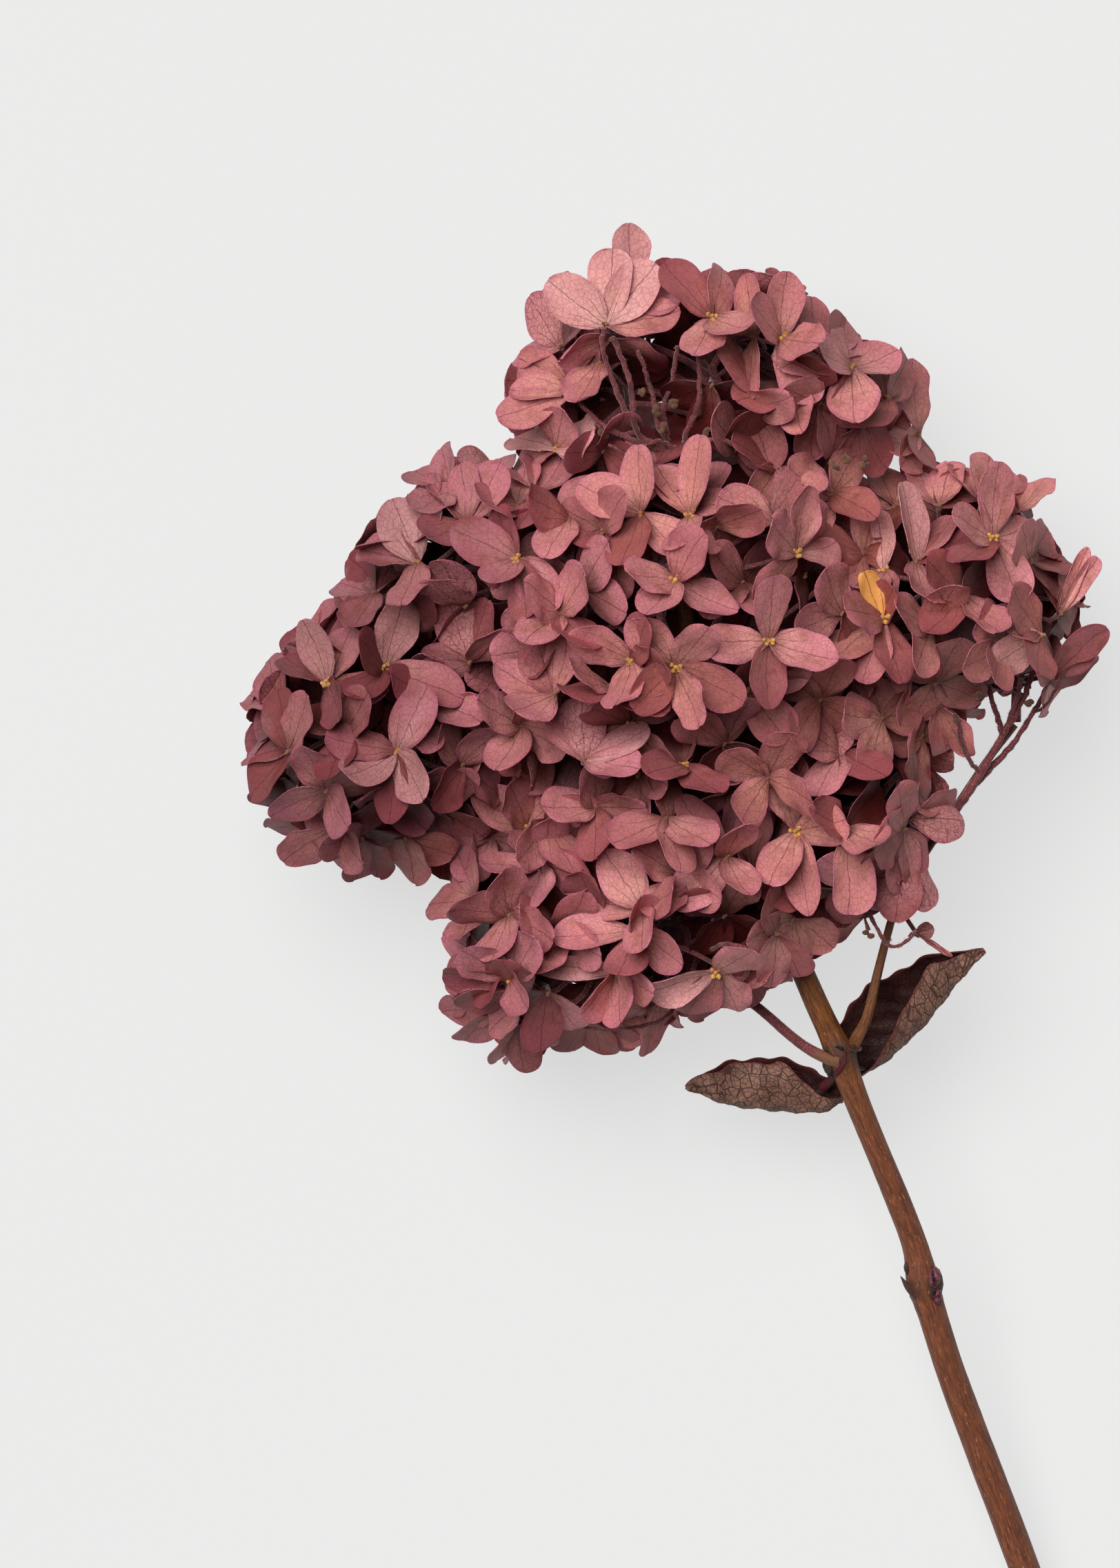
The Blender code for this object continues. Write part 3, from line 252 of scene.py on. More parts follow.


# Florets on the upper side of each spray: middle, depth below the lobe's top, the way it faces, how bright
# its centre is, and its sepals as angle, seen length and seen width. A sepal marked pale gets painted light.
FLORETS = {
    "spray_top": [
        (-19.6, 75, 0, 0.0, 0.45, 0.4,
         [(143, 17, 12, "pale"), (84, 18, 11, "pale"), (50, 18.5, 12, "pale"), (11, 18, 9)]),
        (-18.5, 72, 5, 0.1, -0.2, 0.3, [(332, 15, 5), (205, 13, 6), (250, 10, 8)]),
        (-13.5, 82, 9, 0.0, 0.7, 0.3, [(92, 17, 8, "pale"), (345, 11, 9), (160, 9, 8)]),
        (5, 76.5, 1, 0.1, 0.35, 0.8, [(131, 17, 9), (78, 12, 7), (245, 10, 9.5), (345, 9, 7), (302, 20, 6)]),
        (21, 71.5, 0, 0.1, 0.2, 1.0, [(85, 16, 9), (350, 9, 10), (300, 17, 10), (130, 11, 7)]),
        (15, 72, 5, -0.5, 0.5, 0.3, [(98, 15, 7), (265, 15, 5), (150, 9, 7)]),
        (30, 68, 6, 0.6, 0.3, 0.3, [(98, 14, 9), (200, 10, 9), (20, 9, 8)]),
        (37.5, 65, 3, 0.2, 0.2, 0.5, [(98, 12, 7), (150, 9, 7), (272, 13, 13), (22, 12, 9)]),
        (53.5, 50, 6, 0.5, 0.2, 0.3, [(95, 18, 7), (278, 7, 6), (200, 9, 9), (240, 9, 8)]),
        (46, 58, 8, 0.3, 0.4, 0.3, [(95, 12, 9), (65, 11, 8), (230, 9, 8)]),
        (30, 57, 4, 0.2, -0.2, 0.3, [(262, 14, 10), (287, 12, 8), (20, 10, 9), (160, 9, 9)]),
        (10.5, 46, 9, 0.1, -0.1, 0.3, [(345, 13, 11), (60, 11, 9), (120, 10, 9)]),
        (5, 61, 7, 0.0, -0.3, 0.3, [(272, 15, 9), (200, 11, 9), (330, 11, 9)]),
        (14, 55, 8, 0.0, -0.3, 0.3, [(290, 15, 12), (230, 12, 10), (20, 10, 10)]),
        (-27, 60, 6, -0.4, 0.1, 0.3, [(150, 15, 9), (180, 15, 8), (200, 19, 8), (95, 9, 8)]),
        (-30, 70, 4, -0.3, 0.3, 0.3, [(122, 14, 10, "back"), (190, 10, 8), (60, 9, 8)]),
        (-21, 66, 4, -0.2, 0.1, 0.3, [(238, 11, 9), (165, 9, 8), (118, 9, 7)]),
        (-31, 46.5, 4, -0.3, 0.1, 0.6, [(165, 10, 9, "pale"), (80, 9, 9), (25, 10, 8, "pale"), (205, 11, 8)]),
        (-20, 46, 9, 0.0, -0.1, 0.3, [(325, 11, 9), (185, 9, 9), (60, 10, 8)]),
        (40, 52, 7, 0.3, -0.3, 0.3, [(245, 12, 9), (300, 12, 9), (20, 10, 9), (120, 11, 9)]),
        (33, 66, 6, 0.1, 0.4, 0.3, [(112, 10, 8), (78, 12, 6), (180, 8, 8)]),
        (22, 61, 9, 0.0, 0.0, 0.3, [(200, 12, 9), (290, 12, 9), (20, 11, 9)]),
        (15, 77, 8, 0.0, 0.5, 0.3, [(108, 11, 7), (135, 10, 8), (62, 10, 6)]),
    ],
    "spray_upper_left": [
        (-56, 37, 4, -0.2, 0.5, 0.3, [(150, 9, 9), (100, 10, 8), (215, 9, 8), (40, 10, 8)]),
        (-51.5, 29, 2, -0.1, 0.4, 0.4, [(97, 14, 8), (62, 16, 9), (130, 12, 9), (200, 10, 9)]),
        (-63, 20, 2, -0.4, 0.3, 0.4, [(112, 16, 12, "pale"), (142, 11, 8), (168, 14, 9), (250, 11, 9)]),
        (-73, 13, 5, -0.4, 0.2, 0.2, [(128, 11, 9), (165, 9, 8), (235, 10, 8), (80, 11, 9, "back")]),
        (-40, 20.5, 0, -0.2, 0.1, 0.9,
         [(155, 17, 11), (113, 13, 8), (308, 15, 11), (225, 8, 8), (280, 14, 8)]),
        (-40, 33, 5, 0.0, 0.4, 0.3, [(78, 10, 8), (122, 9, 8), (20, 10, 8), (170, 9, 8)]),
        (-52, 10, 4, 0.0, -0.3, 0.3,
         [(120, 12, 9, "back"), (145, 10, 8, "back"), (250, 10, 9), (340, 11, 9)]),
        (-51, -3, 5, -0.2, -0.3, 0.3,
         [(110, 16, 11, "back"), (74, 15, 8, "back"), (36, 12, 8), (180, 11, 9)]),
        (-31.5, -11, 3, -0.1, 0.2, 0.3, [(107, 15, 12, "back"), (152, 16, 9), (78, 17, 8), (200, 10, 8)]),
        (-30, 8, 6, 0.0, 0.1, 0.3, [(140, 11, 9), (60, 11, 9), (220, 11, 9), (310, 11, 9)]),
        (-64, 4, 7, -0.3, -0.1, 0.2, [(150, 12, 9), (220, 11, 9), (80, 11, 9)]),
        (-46, 37, 8, 0.1, 0.5, 0.2, [(112, 11, 8, "back"), (72, 8, 7), (20, 9, 7)]),
        (-35, 36, 8, 0.1, 0.5, 0.2, [(98, 8, 6), (58, 11, 8), (140, 9, 6), (240, 10, 8)]),
        (-28, 30, 8, 0.0, 0.2, 0.2, ring(60, 12, 11, 11, 11)),
    ],
    "spray_left": [
        (-84, -8, 2, -0.2, 0.3, 0.9,
         [(112, 16, 8, "pale"), (66, 14, 9), (350, 14, 9), (290, 9, 8), (150, 12, 8)]),
        (-71, -4.5, 0, 0.1, 0.2, 0.9, [(75, 19, 10, "pale"), (338, 20, 10), (130, 9, 6), (225, 10, 8)]),
        (-68, -24, 0, 0.0, 0.0, 0.5,
         [(65, 17, 11), (205, 13, 9, "pale"), (300, 13, 9, "pale"), (264, 17, 8), (168, 17, 8)]),
        (-93, -24, 4, -0.5, 0.1, 0.3, [(100, 15, 9), (72, 14, 8), (185, 9, 8), (230, 14, 8)]),
        (-84, -33, 3, -0.2, -0.1, 0.3, [(205, 15, 9), (120, 12, 9), (20, 11, 8), (300, 10, 8)]),
        (-83, -42, 6, -0.3, -0.4, 0.3, [(213, 14, 9), (280, 9, 8), (312, 11, 8), (100, 11, 8)]),
        (-76, -44, 8, 0.0, -0.5, 0.2, [(260, 10, 9), (290, 10, 8), (190, 10, 8)]),
        (-53, -27, 5, 0.2, -0.1, 0.3, [(40, 13, 9), (110, 12, 8), (235, 12, 9), (320, 11, 8)]),
        (-58, -38, 12, 0.1, -0.3, 0.2, ring(60, 12, 12, 11, 12)),
        (-59, -12, 5, 0.1, 0.1, 0.3, [(60, 12, 9), (150, 12, 9), (250, 12, 9), (335, 12, 9)]),
        (-95, -13, 7, -0.4, 0.2, 0.2, [(105, 11, 9), (165, 8, 8), (225, 9, 8)]),
        (-80, -20, 5, -0.1, 0.1, 0.3, [(150, 12, 9), (60, 11, 9), (250, 11, 9)]),
        (-66, -44, 10, 0.0, -0.5, 0.2, [(200, 12, 9), (280, 11, 9), (340, 12, 9)]),
        (-39, -18, 12, 0.0, 0.0, 0.2, ring(60, 12, 12, 12, 12)),
    ],
    "spray_centre": [
        (-11.5, 31, 1, -0.1, 0.2, 0.6, [(155, 16, 11), (92, 16, 7), (320, 14.5, 9.5), (250, 13, 9)]),
        (-20, 27, 4, -0.4, -0.2, 0.3, [(260, 12, 6), (150, 11, 7), (285, 17, 9), (60, 10, 8)]),
        (-3.5, 15.5, 0, 0.0, 0.1, 1.0, [(172, 11, 9), (335, 16.5, 9), (230, 10.5, 8.5), (58, 13, 10)]),
        (0, 30.5, 3, 0.0, 0.3, 0.8, [(82, 19, 7), (125, 14, 9), (250, 8, 8), (292, 9, 8)]),
        (19, 29, 4, 0.2, 0.2, 0.3, [(155, 14, 11), (60, 12, 9), (340, 11, 9)]),
        (6, 28, 6, 0.1, -0.1, 0.3, [(300, 12, 10), (210, 10, 9), (20, 11, 9)]),
        (24.5, 22, 2, 0.2, 0.1, 0.8, [(130, 9, 9), (78, 16, 7), (55, 13, 8), (15, 10, 8), (228, 15, 6)]),
        (18, 1.5, 0, 0.1, 0.0, 0.8, [(180, 15, 10), (85, 15, 8.5), (345, 17, 10), (271, 16, 8.5)]),
        (-3.5, -4.5, 0, 0.0, -0.1, 1.0,
         [(133, 15, 9.5), (333, 18, 10), (225, 14, 10), (292, 15, 7), (50, 12, 9)]),
        (-13.5, -3, 3, -0.1, 0.0, 0.8, [(160, 16, 9), (250, 11, 9), (350, 8, 8), (70, 10, 8)]),
        (-24.5, -26, 1, -0.1, 0.2, 0.3,
         [(93, 15, 12, "back"), (120, 14, 8), (27, 17, 7, "pale"), (350, 13, 9)]),
        (-19, -9, 4, 0.0, 0.2, 0.2, [(0, 14, 9), (335, 15, 8), (150, 10, 5, "back"), (190, 10, 5, "back")]),
        (-47.5, -20.5, 13, -0.3, -0.2, 0.2, [(45, 13, 9), (110, 11, 9), (235, 13, 9), (320, 11, 9)]),
        (12, 15, 13, 0.1, 0.1, 0.2, ring(45, 12, 11, 12, 11)),
        (35, 8, 6, 0.3, 0.0, 0.3, [(205, 12, 10), (110, 11, 9), (20, 12, 10), (300, 11, 9)]),
        (33, 36, 6, 0.3, 0.4, 0.3, ring(60, 13, 12, 11, 12)),
        (30, -12, 13, 0.3, -0.2, 0.2, ring(60, 11, 12, 12, 12)),
        (8, -22, 12, 0.1, -0.3, 0.2, ring(60, 12, 12, 12, 12)),
        (-25, 14, 10, -0.2, 0.0, 0.2, ring(60, 12, 12, 12, 12)),
        (-8, 42, 8, 0.0, 0.4, 0.2, [(60, 11, 9), (120, 11, 8), (240, 10, 8), (340, 11, 8)]),
        (20, 42, 8, 0.2, 0.3, 0.2, ring(60, 12, 12, 12, 12)),
        (40, 22, 9, 0.4, 0.1, 0.2, ring(70, 12, 12, 12, 12)),
        (-1.5, -27, 7, 0.0, 0.2, 0.7, [(112, 11, 8), (78, 12, 6), (195, 9, 8), (320, 10, 8)]),
    ],
    "spray_right": [
        (70, 25.5, 0, 0.1, 0.2, 0.9, [(295, 16, 11), (20, 10, 10), (85, 18, 9), (150, 11, 8), (215, 10, 8)]),
        (52.5, 20, 2, 0.0, 0.4, 0.3, [(100, 19, 7, "pale"), (52, 14, 7), (28, 15, 8), (290, 10, 8)]),
        (45, 18, 3, -0.1, 0.2, 0.9, [(96, 14, 8, "pale"), (142, 9, 8), (280, 11, 6), (210, 8, 7)]),
        (44.5, 7, -6, 0.0, 0.1, 1.0,
         [(112, 11.5, 6, "gold", "flat"), (253, 16, 9), (287, 16, 9), (170, 9, 8)]),
        (42, 5, 6, -0.1, 0.1, 0.2, [(142, 13, 9), (220, 11, 9), (60, 10, 9)]),
        (56, 5, 4, 0.2, -0.1, 0.3, [(342, 13, 9), (250, 11, 9), (60, 11, 9), (150, 10, 8)]),
        (57, -8, 6, 0.1, -0.3, 0.3, [(60, 12, 10), (130, 11, 9), (240, 10, 9), (340, 12, 9)]),
        (81.5, 3, 2, 0.3, 0.0, 0.4, [(122, 13, 9), (160, 13, 8), (214, 14, 8, "pale"), (265, 9, 8)]),
        (86, 8, 6, 0.5, 0.3, 0.3,
         [(98, 14, 6), (73, 12, 7, "back"), (67, 17, 4.5, "flat"), (56, 16, 5, "flat")]),
        (84, -7, 8, 0.6, -0.2, 0.3, [(41, 18, 8), (268, 7, 4), (120, 10, 8), (20, 12, 5)]),
        (58, 33, 5, 0.0, 0.6, 0.3, [(75, 11, 9), (120, 10, 8), (30, 10, 8)]),
        (68, 34, 5, 0.2, 0.6, 0.3, [(80, 11, 9), (125, 10, 8), (40, 10, 8)]),
        (75, 31, 5, 0.3, 0.5, 0.3, [(100, 12, 8), (47, 12, 6), (150, 9, 8)]),
        (79, 20, 6, 0.4, 0.2, 0.3, [(60, 9, 8), (105, 9, 8), (330, 10, 8), (12, 8, 7)]),
        (48, 33, 5, -0.1, 0.4, 0.4, [(172, 14, 7), (110, 11, 9), (60, 11, 8), (240, 9, 8)]),
        (63, 12, 5, 0.1, 0.1, 0.3, ring(45, 12, 12, 12, 12)),
        (73, 0, 5, 0.3, -0.2, 0.3, [(205, 11, 9), (250, 8, 9), (330, 9, 9), (120, 11, 9)]),
        (85, 12, 11, 0.4, 0.1, 0.2, [(60, 7, 8), (0, 6, 7), (300, 8, 8)]),
        (58, -13, 9, 0.1, -0.4, 0.2, [(220, 11, 9), (280, 11, 9), (340, 9, 7), (300, 14, 7)]),
    ],
    "spray_lower_right": [
        (24.5, -42.5, 0, 0.0, 0.0, 1.0, [(105, 20, 8), (14, 12, 10.5), (243, 14, 10), (279, 20, 8)]),
        (36, -42, 4, 0.1, 0.1, 0.3, [(272, 20, 10), (340, 9, 9), (50, 13, 9), (150, 10, 9)]),
        (30, -33, 5, 0.1, 0.3, 0.3, [(45, 13, 9), (20, 11, 9), (130, 11, 9)]),
        (44.5, -16.5, 3, 0.1, 0.2, 0.3, [(172, 9, 11), (18, 10, 11), (256, 15, 9), (100, 11, 9)]),
        (49.5, -42, 4, 0.3, -0.3, 0.3, [(100, 10, 8), (220, 9, 7), (268, 15, 8), (286, 13, 8)]),
        (51, -39.5, 6, 0.5, 0.0, 0.3, [(357, 13, 11, "back"), (18, 11, 7), (200, 8, 7)]),
        (54, -20.5, 6, 0.3, 0.0, 0.3, [(268, 14, 9), (60, 10, 9), (112, 11, 9), (180, 9, 9)]),
        (50, -47, 9, 0.3, -0.5, 0.3, [(262, 17, 11, "back"), (295, 15, 8, "back"), (230, 13, 8)]),
        (35, -24, 8, 0.1, 0.2, 0.2, ring(60, 12, 12, 12, 12)),
        (24, -63, 6, 0.1, -0.2, 0.3, [(205, 12, 9), (250, 12, 10, "pale"), (285, 12, 9), (325, 12, 9)]),
        (40, -54, 8, 0.2, -0.3, 0.2, ring(60, 11, 11, 11, 11)),
        (53, -66.3, 2, 0.0, 0.0, 0.0, [(22, 4.2, 4.2, "flat"), (327, 10, 1.4, "flat"), (200, 2, 1, "flat")]),
        (18, -30, 7, 0.0, -0.1, 0.2, ring(60, 12, 12, 12, 12)),
    ],
    "spray_bottom": [
        (-11, -60, 1, -0.1, 0.1, 0.9, [(125, 16, 11), (170, 13, 9), (30, 8, 8), (270, 10, 8)]),
        (-13, -65.5, 1, 0.0, 0.0, 0.9, [(185, 19, 8), (325, 14, 9), (250, 11, 10), (80, 8, 8)]),
        (-17, -75, -3, 0.0, -0.1, 0.7,
         [(175, 20, 6, "pale", "flat"), (330, 10, 8), (230, 13, 7), (275, 12, 8)]),
        (6, -75, 2, 0.0, -0.3, 0.9, [(195, 17, 8, "pale"), (300, 11, 9), (235, 12, 9), (30, 10, 8)]),
        (-5.5, -39.5, 3, 0.0, 0.2, 0.3, [(100, 15, 8), (205, 14, 9), (285, 13, 9), (330, 12, 9)]),
        (8.5, -48.5, -3, 0.0, 0.0, 0.5, [(128, 18, 9), (225, 17, 11), (60, 9, 8), (300, 10, 9)]),
        (-22, -61, 4, -0.2, 0.0, 0.3, [(172, 13, 8), (110, 10, 8), (240, 11, 8)]),
        (20, -66, 5, 0.2, -0.5, 0.3, [(232, 15, 10), (265, 13, 9), (300, 12, 9), (100, 10, 7)]),
        (4, -78, 8, 0.0, -0.4, 0.3, [(225, 10, 9), (268, 8, 9), (320, 9, 8)]),
        (-7, -81, 8, 0.0, -0.4, 0.3, [(188, 11, 8), (232, 9, 8), (290, 7, 8), (258, 14, 7)]),
        (15, -73, 8, 0.2, -0.5, 0.3, [(240, 11, 9), (275, 10, 8), (320, 8, 8)]),
        (-3, -52, 5, 0.0, 0.0, 0.3, ring(60, 12, 12, 12, 12)),
        (-23, -50, 7, -0.1, 0.0, 0.2, ring(10, 12, 12, 12, 12)),
        (8, -62, 10, 0.0, -0.2, 0.3, ring(60, 11, 11, 11, 11)),
        (-22, -37, 13, 0.0, 0.0, 0.2, ring(0, 12, 12, 12, 12)),
    ],
    "spray_bottom_left": [
        (-38, -41.5, 1, 0.0, 0.1, 1.0, [(150, 15, 10), (110, 11, 9), (280, 9, 8), (40, 12, 9)]),
        (-33, -41, 4, 0.1, 0.0, 0.3, [(35, 12, 9), (300, 13, 9), (230, 11, 8)]),
        (-34, -50, 4, 0.0, 0.0, 0.3, [(178, 15, 7), (250, 12, 9), (340, 12, 9), (80, 11, 9)]),
        (-52, -43, 11, -0.2, -0.2, 0.2, [(182, 10, 9), (288, 12, 9), (60, 11, 9), (110, 10, 9)]),
        (-41.5, -76.5, 1, -0.1, 0.0, 0.8, [(150, 13, 9), (176, 16, 5), (300, 8, 8), (60, 11, 9)]),
        (-39, -80, 3, -0.2, -0.1, 0.3, [(190, 16, 6), (230, 12, 8), (120, 9, 8)]),
        (-33, -80, 4, 0.0, -0.3, 0.3, [(262, 14, 10), (310, 11, 8), (200, 10, 8)]),
        (-45, -85, 7, -0.3, -0.5, 0.2, [(178, 13, 7), (220, 10, 8), (140, 9, 8)]),
        (-40, -87, 8, -0.1, -0.5, 0.2, [(243, 10, 7), (277, 12, 10, "back"), (318, 9, 8)]),
        (-23, -86, 7, 0.0, -0.4, 0.3, [(235, 10, 8), (285, 9, 9), (200, 9, 8), (335, 14, 7), (318, 12, 8)]),
        (-42, -62, 4, 0.0, 0.0, 0.3, [(95, 11, 9), (175, 14, 9), (250, 11, 9), (330, 12, 9)]),
        (-50, -58, 7, -0.2, 0.1, 0.2, [(190, 11, 8), (110, 11, 8), (250, 10, 8)]),
        (-46, -44, 10, 0.0, 0.0, 0.2, ring(60, 12, 12, 12, 12)),
        (-30, -66, 10, 0.0, 0.0, 0.2, ring(60, 11, 11, 11, 11)),
        (-48, -72, 7, -0.3, -0.1, 0.2, [(150, 11, 9), (215, 11, 9), (280, 10, 9)]),
    ],
    "spray_under": [],
}

# Florets that the head rests on: middle and the angle of the first sepal
RESTING_FLORETS = {
    "spray_under": [(-13.5, 0, 0), (18, 18, 20), (-30, 30, 45)],
    "spray_top": [(10, 54, 20)],
    "spray_left": [(-66, -20, 50)],
    "spray_right": [(58, 8, 10)],
    "spray_lower_right": [(42, -36, 40)],
    "spray_bottom": [(4, -58, 30)],
    "spray_bottom_left": [(-40, -62, 60)],
}

# Routes as in the solids, in x, y, z and radius: the main stem from inside the head to its cut end
STEM_ROUTE = [
    (-1, 28, 59, 1.6), (-1, 10, 59, 1.9), (3, -16, 58, 2.1), (12.5, -46, 54.5, 2.3), (25.2, -72.5, 50.5, 2.6),
    (29.9, -83, 48.5, 2.75), (33.2, -90, 46.7, 2.95), (35.2, -94.2, 45.6, 3.6), (37, -99.5, 44.4, 3.15),
    (41.5, -111, 41.8, 2.8), (49.4, -130, 36.6, 2.9), (53.1, -140, 33.8, 3.05), (54.9, -148.5, 31.5, 3.85),
    (57.2, -156, 29.6, 3.4), (61.7, -170, 25.9, 3.4), (69.2, -190, 20.6, 3.5), (77.6, -212, 14.9, 3.55),
    (98.2, -268, 2.9, 3.45),
]
STEM_SIDES = 40
STEM_RING_GAP = 1.1
CUT_SLANT = 0.35
UPPER_JOINT = (35.3, -94.5, 45.5)
LOWER_JOINT = (54.9, -148.8, 31.5)

# The shoots' routes from the joint, and the place that their feet share
SHOOT_SIDES = 20
SHOOT_FEET = (33.7, -95.9, 45.5)
SIDE_SHOOT_RIGHT = [
    (37.6, -94.2, 45.6, 1.4), (39.2, -90.9, 47.2, 1.5), (40.6, -88.2, 48.0, 1.3), (42.1, -84, 49, 1.2),
    (45.4, -70, 50, 1.0), (49.5, -57, 50, 0.9), (56.3, -45.8, 50, 0.9), (69.6, -26, 50, 0.9),
    (76, -17.7, 50.7, 0.9),
]
SIDE_SHOOT_LEFT = [
    (35.3, -96.0, 47.6, 1.7), (32.6, -95.6, 47.1, 1.5), (28.2, -93.5, 46.2, 1.3), (23.8, -90.3, 46, 1.2),
    (13.2, -81.6, 46, 1.1), (0, -74.5, 45.6, 1.0), (-12.3, -70.7, 45.2, 1.0),
]

# Leaves: the spine along the seen edge, the way across and the size of the roll, as in the solids. The arc is
# in degrees: where it starts, where it ends at the foot and at its fullest, and how far along that is
LEAVES = {
    "leaf_right": {
        "spine": [
            (40.4, -99.7, 36.2), (47.3, -95.2, 38.5), (56, -86.5, 43), (62.2, -78.3, 47.5), (69, -70.5, 51),
        ],
        "across": (-0.66, 0.72, 0.2),
        "seen_width": 17,
        "height": 10,
        "arc": (-150, 18, 116, 0.72),
        "skew": 0.62,
        "stalk_red": 0.0,
        "stalk": [(38.6, -97.4, 42.4, 0.8), (40.6, -97.8, 39, 0.8), (43, -96.6, 36, 0.8)],
    },
    "leaf_left": {
        "spine": [
            (36.0, -105.6, 37.2), (30, -108.2, 36.5), (16, -107.4, 34), (8.5, -106.2, 33), (-0.6, -102.6, 32),
        ],
        "across": (0.05, 0.98, 0.2),
        "seen_width": 14,
        "height": 9,
        "arc": (-140, 48, 130, 0.42),
        "skew": 1.0,
        "stalk_red": 1.0,
        "stalk": [
            (36.2, -93.4, 48.9, 0.4), (36.2, -96.0, 49.0, 0.55), (34.9, -98.5, 47.6, 0.7),
            (33.2, -100.4, 43.5, 0.9), (31.5, -102.5, 38.5, 1.2),
        ],
    },
}

# A leaf's points along and across, its thickness, and the length and width that its texture is spread over
LEAF_STATIONS = 70
LEAF_STEPS_ACROSS = 36
LEAF_THICKNESS = 0.4
LEAF_LENGTH = 40
LEAF_WIDTH = 26


def unit(vector):
    return np.asarray(vector, float) / np.linalg.norm(vector)


def turned(vector, axis, angle):
    """A vector turned round an axis of length one."""
    along = axis * np.dot(axis, vector)
    return along + (vector - along) * math.cos(angle) + np.cross(axis, vector) * math.sin(angle)


def square_to(axis):
    """Two directions square to an axis and to each other."""
    other = UP if abs(axis[2]) < 0.9 else np.array((1.0, 0.0, 0.0))
    first = unit(np.cross(axis, other))
    return first, np.cross(axis, first)


class Builder:
    """Collects the points and faces of one piece, in millimetres, with the values its materials read."""

    def __init__(self, name):
        self.name = name
        self.points, self.quads, self.uvs = [], [], []
        self.values = {key: [] for key in ("tint", "margin", "outer", "age", "gold", "deep")}
        self.count = 0

    def add(self, points, quads, uv=None, **values):
        size = len(points)
        self.points.append(np.asarray(points, float))
        self.quads.append(np.asarray(quads, int) + self.count)
        self.uvs.append(np.zeros((size, 2)) if uv is None else uv)
        for key, kept in self.values.items():
            kept.append(np.broadcast_to(np.asarray(values.get(key, 0.0), float), (size,)))
        self.count += size

    def make(self, material, slot, *nodes, sharp=50):
        """The piece as an object. A quad whose last two corners are the same is a triangle."""
        points = np.concatenate(self.points)
        points[:, 2] = np.maximum(points[:, 2], LOWEST_POINT)
        quads = np.concatenate(self.quads)
        three = quads[:, 2] == quads[:, 3]
        sizes = np.where(three, 3, 4)
        corners = quads[~(np.arange(4)[None, :] >= sizes[:, None])]
        mesh = bpy.data.meshes.new(self.name)
        mesh.vertices.add(len(points))
        mesh.vertices.foreach_set("co", (points @ STEM_TURN.T * MM).ravel())
        mesh.loops.add(len(corners))
        mesh.loops.foreach_set("vertex_index", corners)
        mesh.polygons.add(len(quads))
        mesh.polygons.foreach_set("loop_start", np.concatenate([[0], np.cumsum(sizes)[:-1]]))
        mesh.update(calc_edges=True)
        uv_map = mesh.uv_layers.new(name="growth")
        uv_map.data.foreach_set("uv", np.concatenate(self.uvs)[corners].ravel())
        for key, kept in self.values.items():
            mesh.attributes.new(key, "FLOAT", "POINT").data.foreach_set("value", np.concatenate(kept))
        mesh.materials.append(material)
        mesh.validate()
        mesh.shade_smooth()
        mesh.set_sharp_from_angle(angle=math.radians(sharp))
        made = bpy.data.objects.new(self.name, mesh)
        bpy.context.scene.collection.objects.link(made)
        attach(made, "root")
        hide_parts(*nodes)


def grid_quads(rows, columns, start=0, flipped=False):
    """Quads between the points of a grid that is stored row by row."""
    first = (np.arange(rows - 1)[:, None] * columns + np.arange(columns - 1)[None, :]).ravel() + start
    quads = np.stack([first, first + 1, first + 1 + columns, first + columns], axis=1)
    return quads[:, ::-1] if flipped else quads


def rim_quads(rows, columns):
    """Quads that close two equal grids along their shared outline."""
    low = rows * columns
    loop = list(range(columns)) + [r * columns + columns - 1 for r in range(1, rows)]
    loop += [(rows - 1) * columns + c for c in range(columns - 2, -1, -1)]
    loop += [r * columns for r in range(rows - 2, 0, -1)]
    after = loop[1:] + loop[:1]
    return np.array([(b, a, a + low, b + low) for a, b in zip(loop, after)])


def blade_quads(rows, columns):
    """Quads of a thin closed blade: its two faces, the first of which looks along face, and its rim."""
    low = rows * columns
    faces = [grid_quads(rows, columns), grid_quads(rows, columns, low, flipped=True)]
    return np.concatenate([*faces, rim_quads(rows, columns)])[:, ::-1]


def ring_quads(rows, sides):
    """Quads between rings of points that are stored one after another."""
    first = np.arange(sides)
    second = np.roll(first, -1)
    band = np.stack([first, second, second + sides, first + sides], axis=1)
    return np.concatenate([band + i * sides for i in range(rows - 1)])


def cap_quads(first, second, middle):
    """Triangles from the steps between the points of a ring to its middle."""
    middle = np.full(len(first), middle)
    return np.stack([first, second, middle, middle], axis=1)


def two_sides(sheet, offset):
    """The points of a blade's two faces, one on each side of a sheet."""
    return np.concatenate([(sheet + offset).reshape(-1, 3), (sheet - offset).reshape(-1, 3)])


def sepal_outline(draw, s, t, width):
    """Half a sepal's width along it: broad, with a narrow foot and a blunt, slightly uneven tip."""
    blunt = draw.uniform(0.4, 0.6)
    rise = draw.uniform(0.58, 0.78)
    profile = s**rise * (1 - s) ** blunt
    peak = rise / (rise + blunt)
    profile /= peak**rise * (1 - peak) ** blunt
    profile = np.maximum(profile, SEPAL_FOOT)
    lean = draw.normal(0, 0.05)
    wavy = 1 + 0.03 * np.sin(s * draw.uniform(6, 11) + draw.uniform(0, 6) + t)
    return width / 2 * profile * (1 + lean * t) * wavy


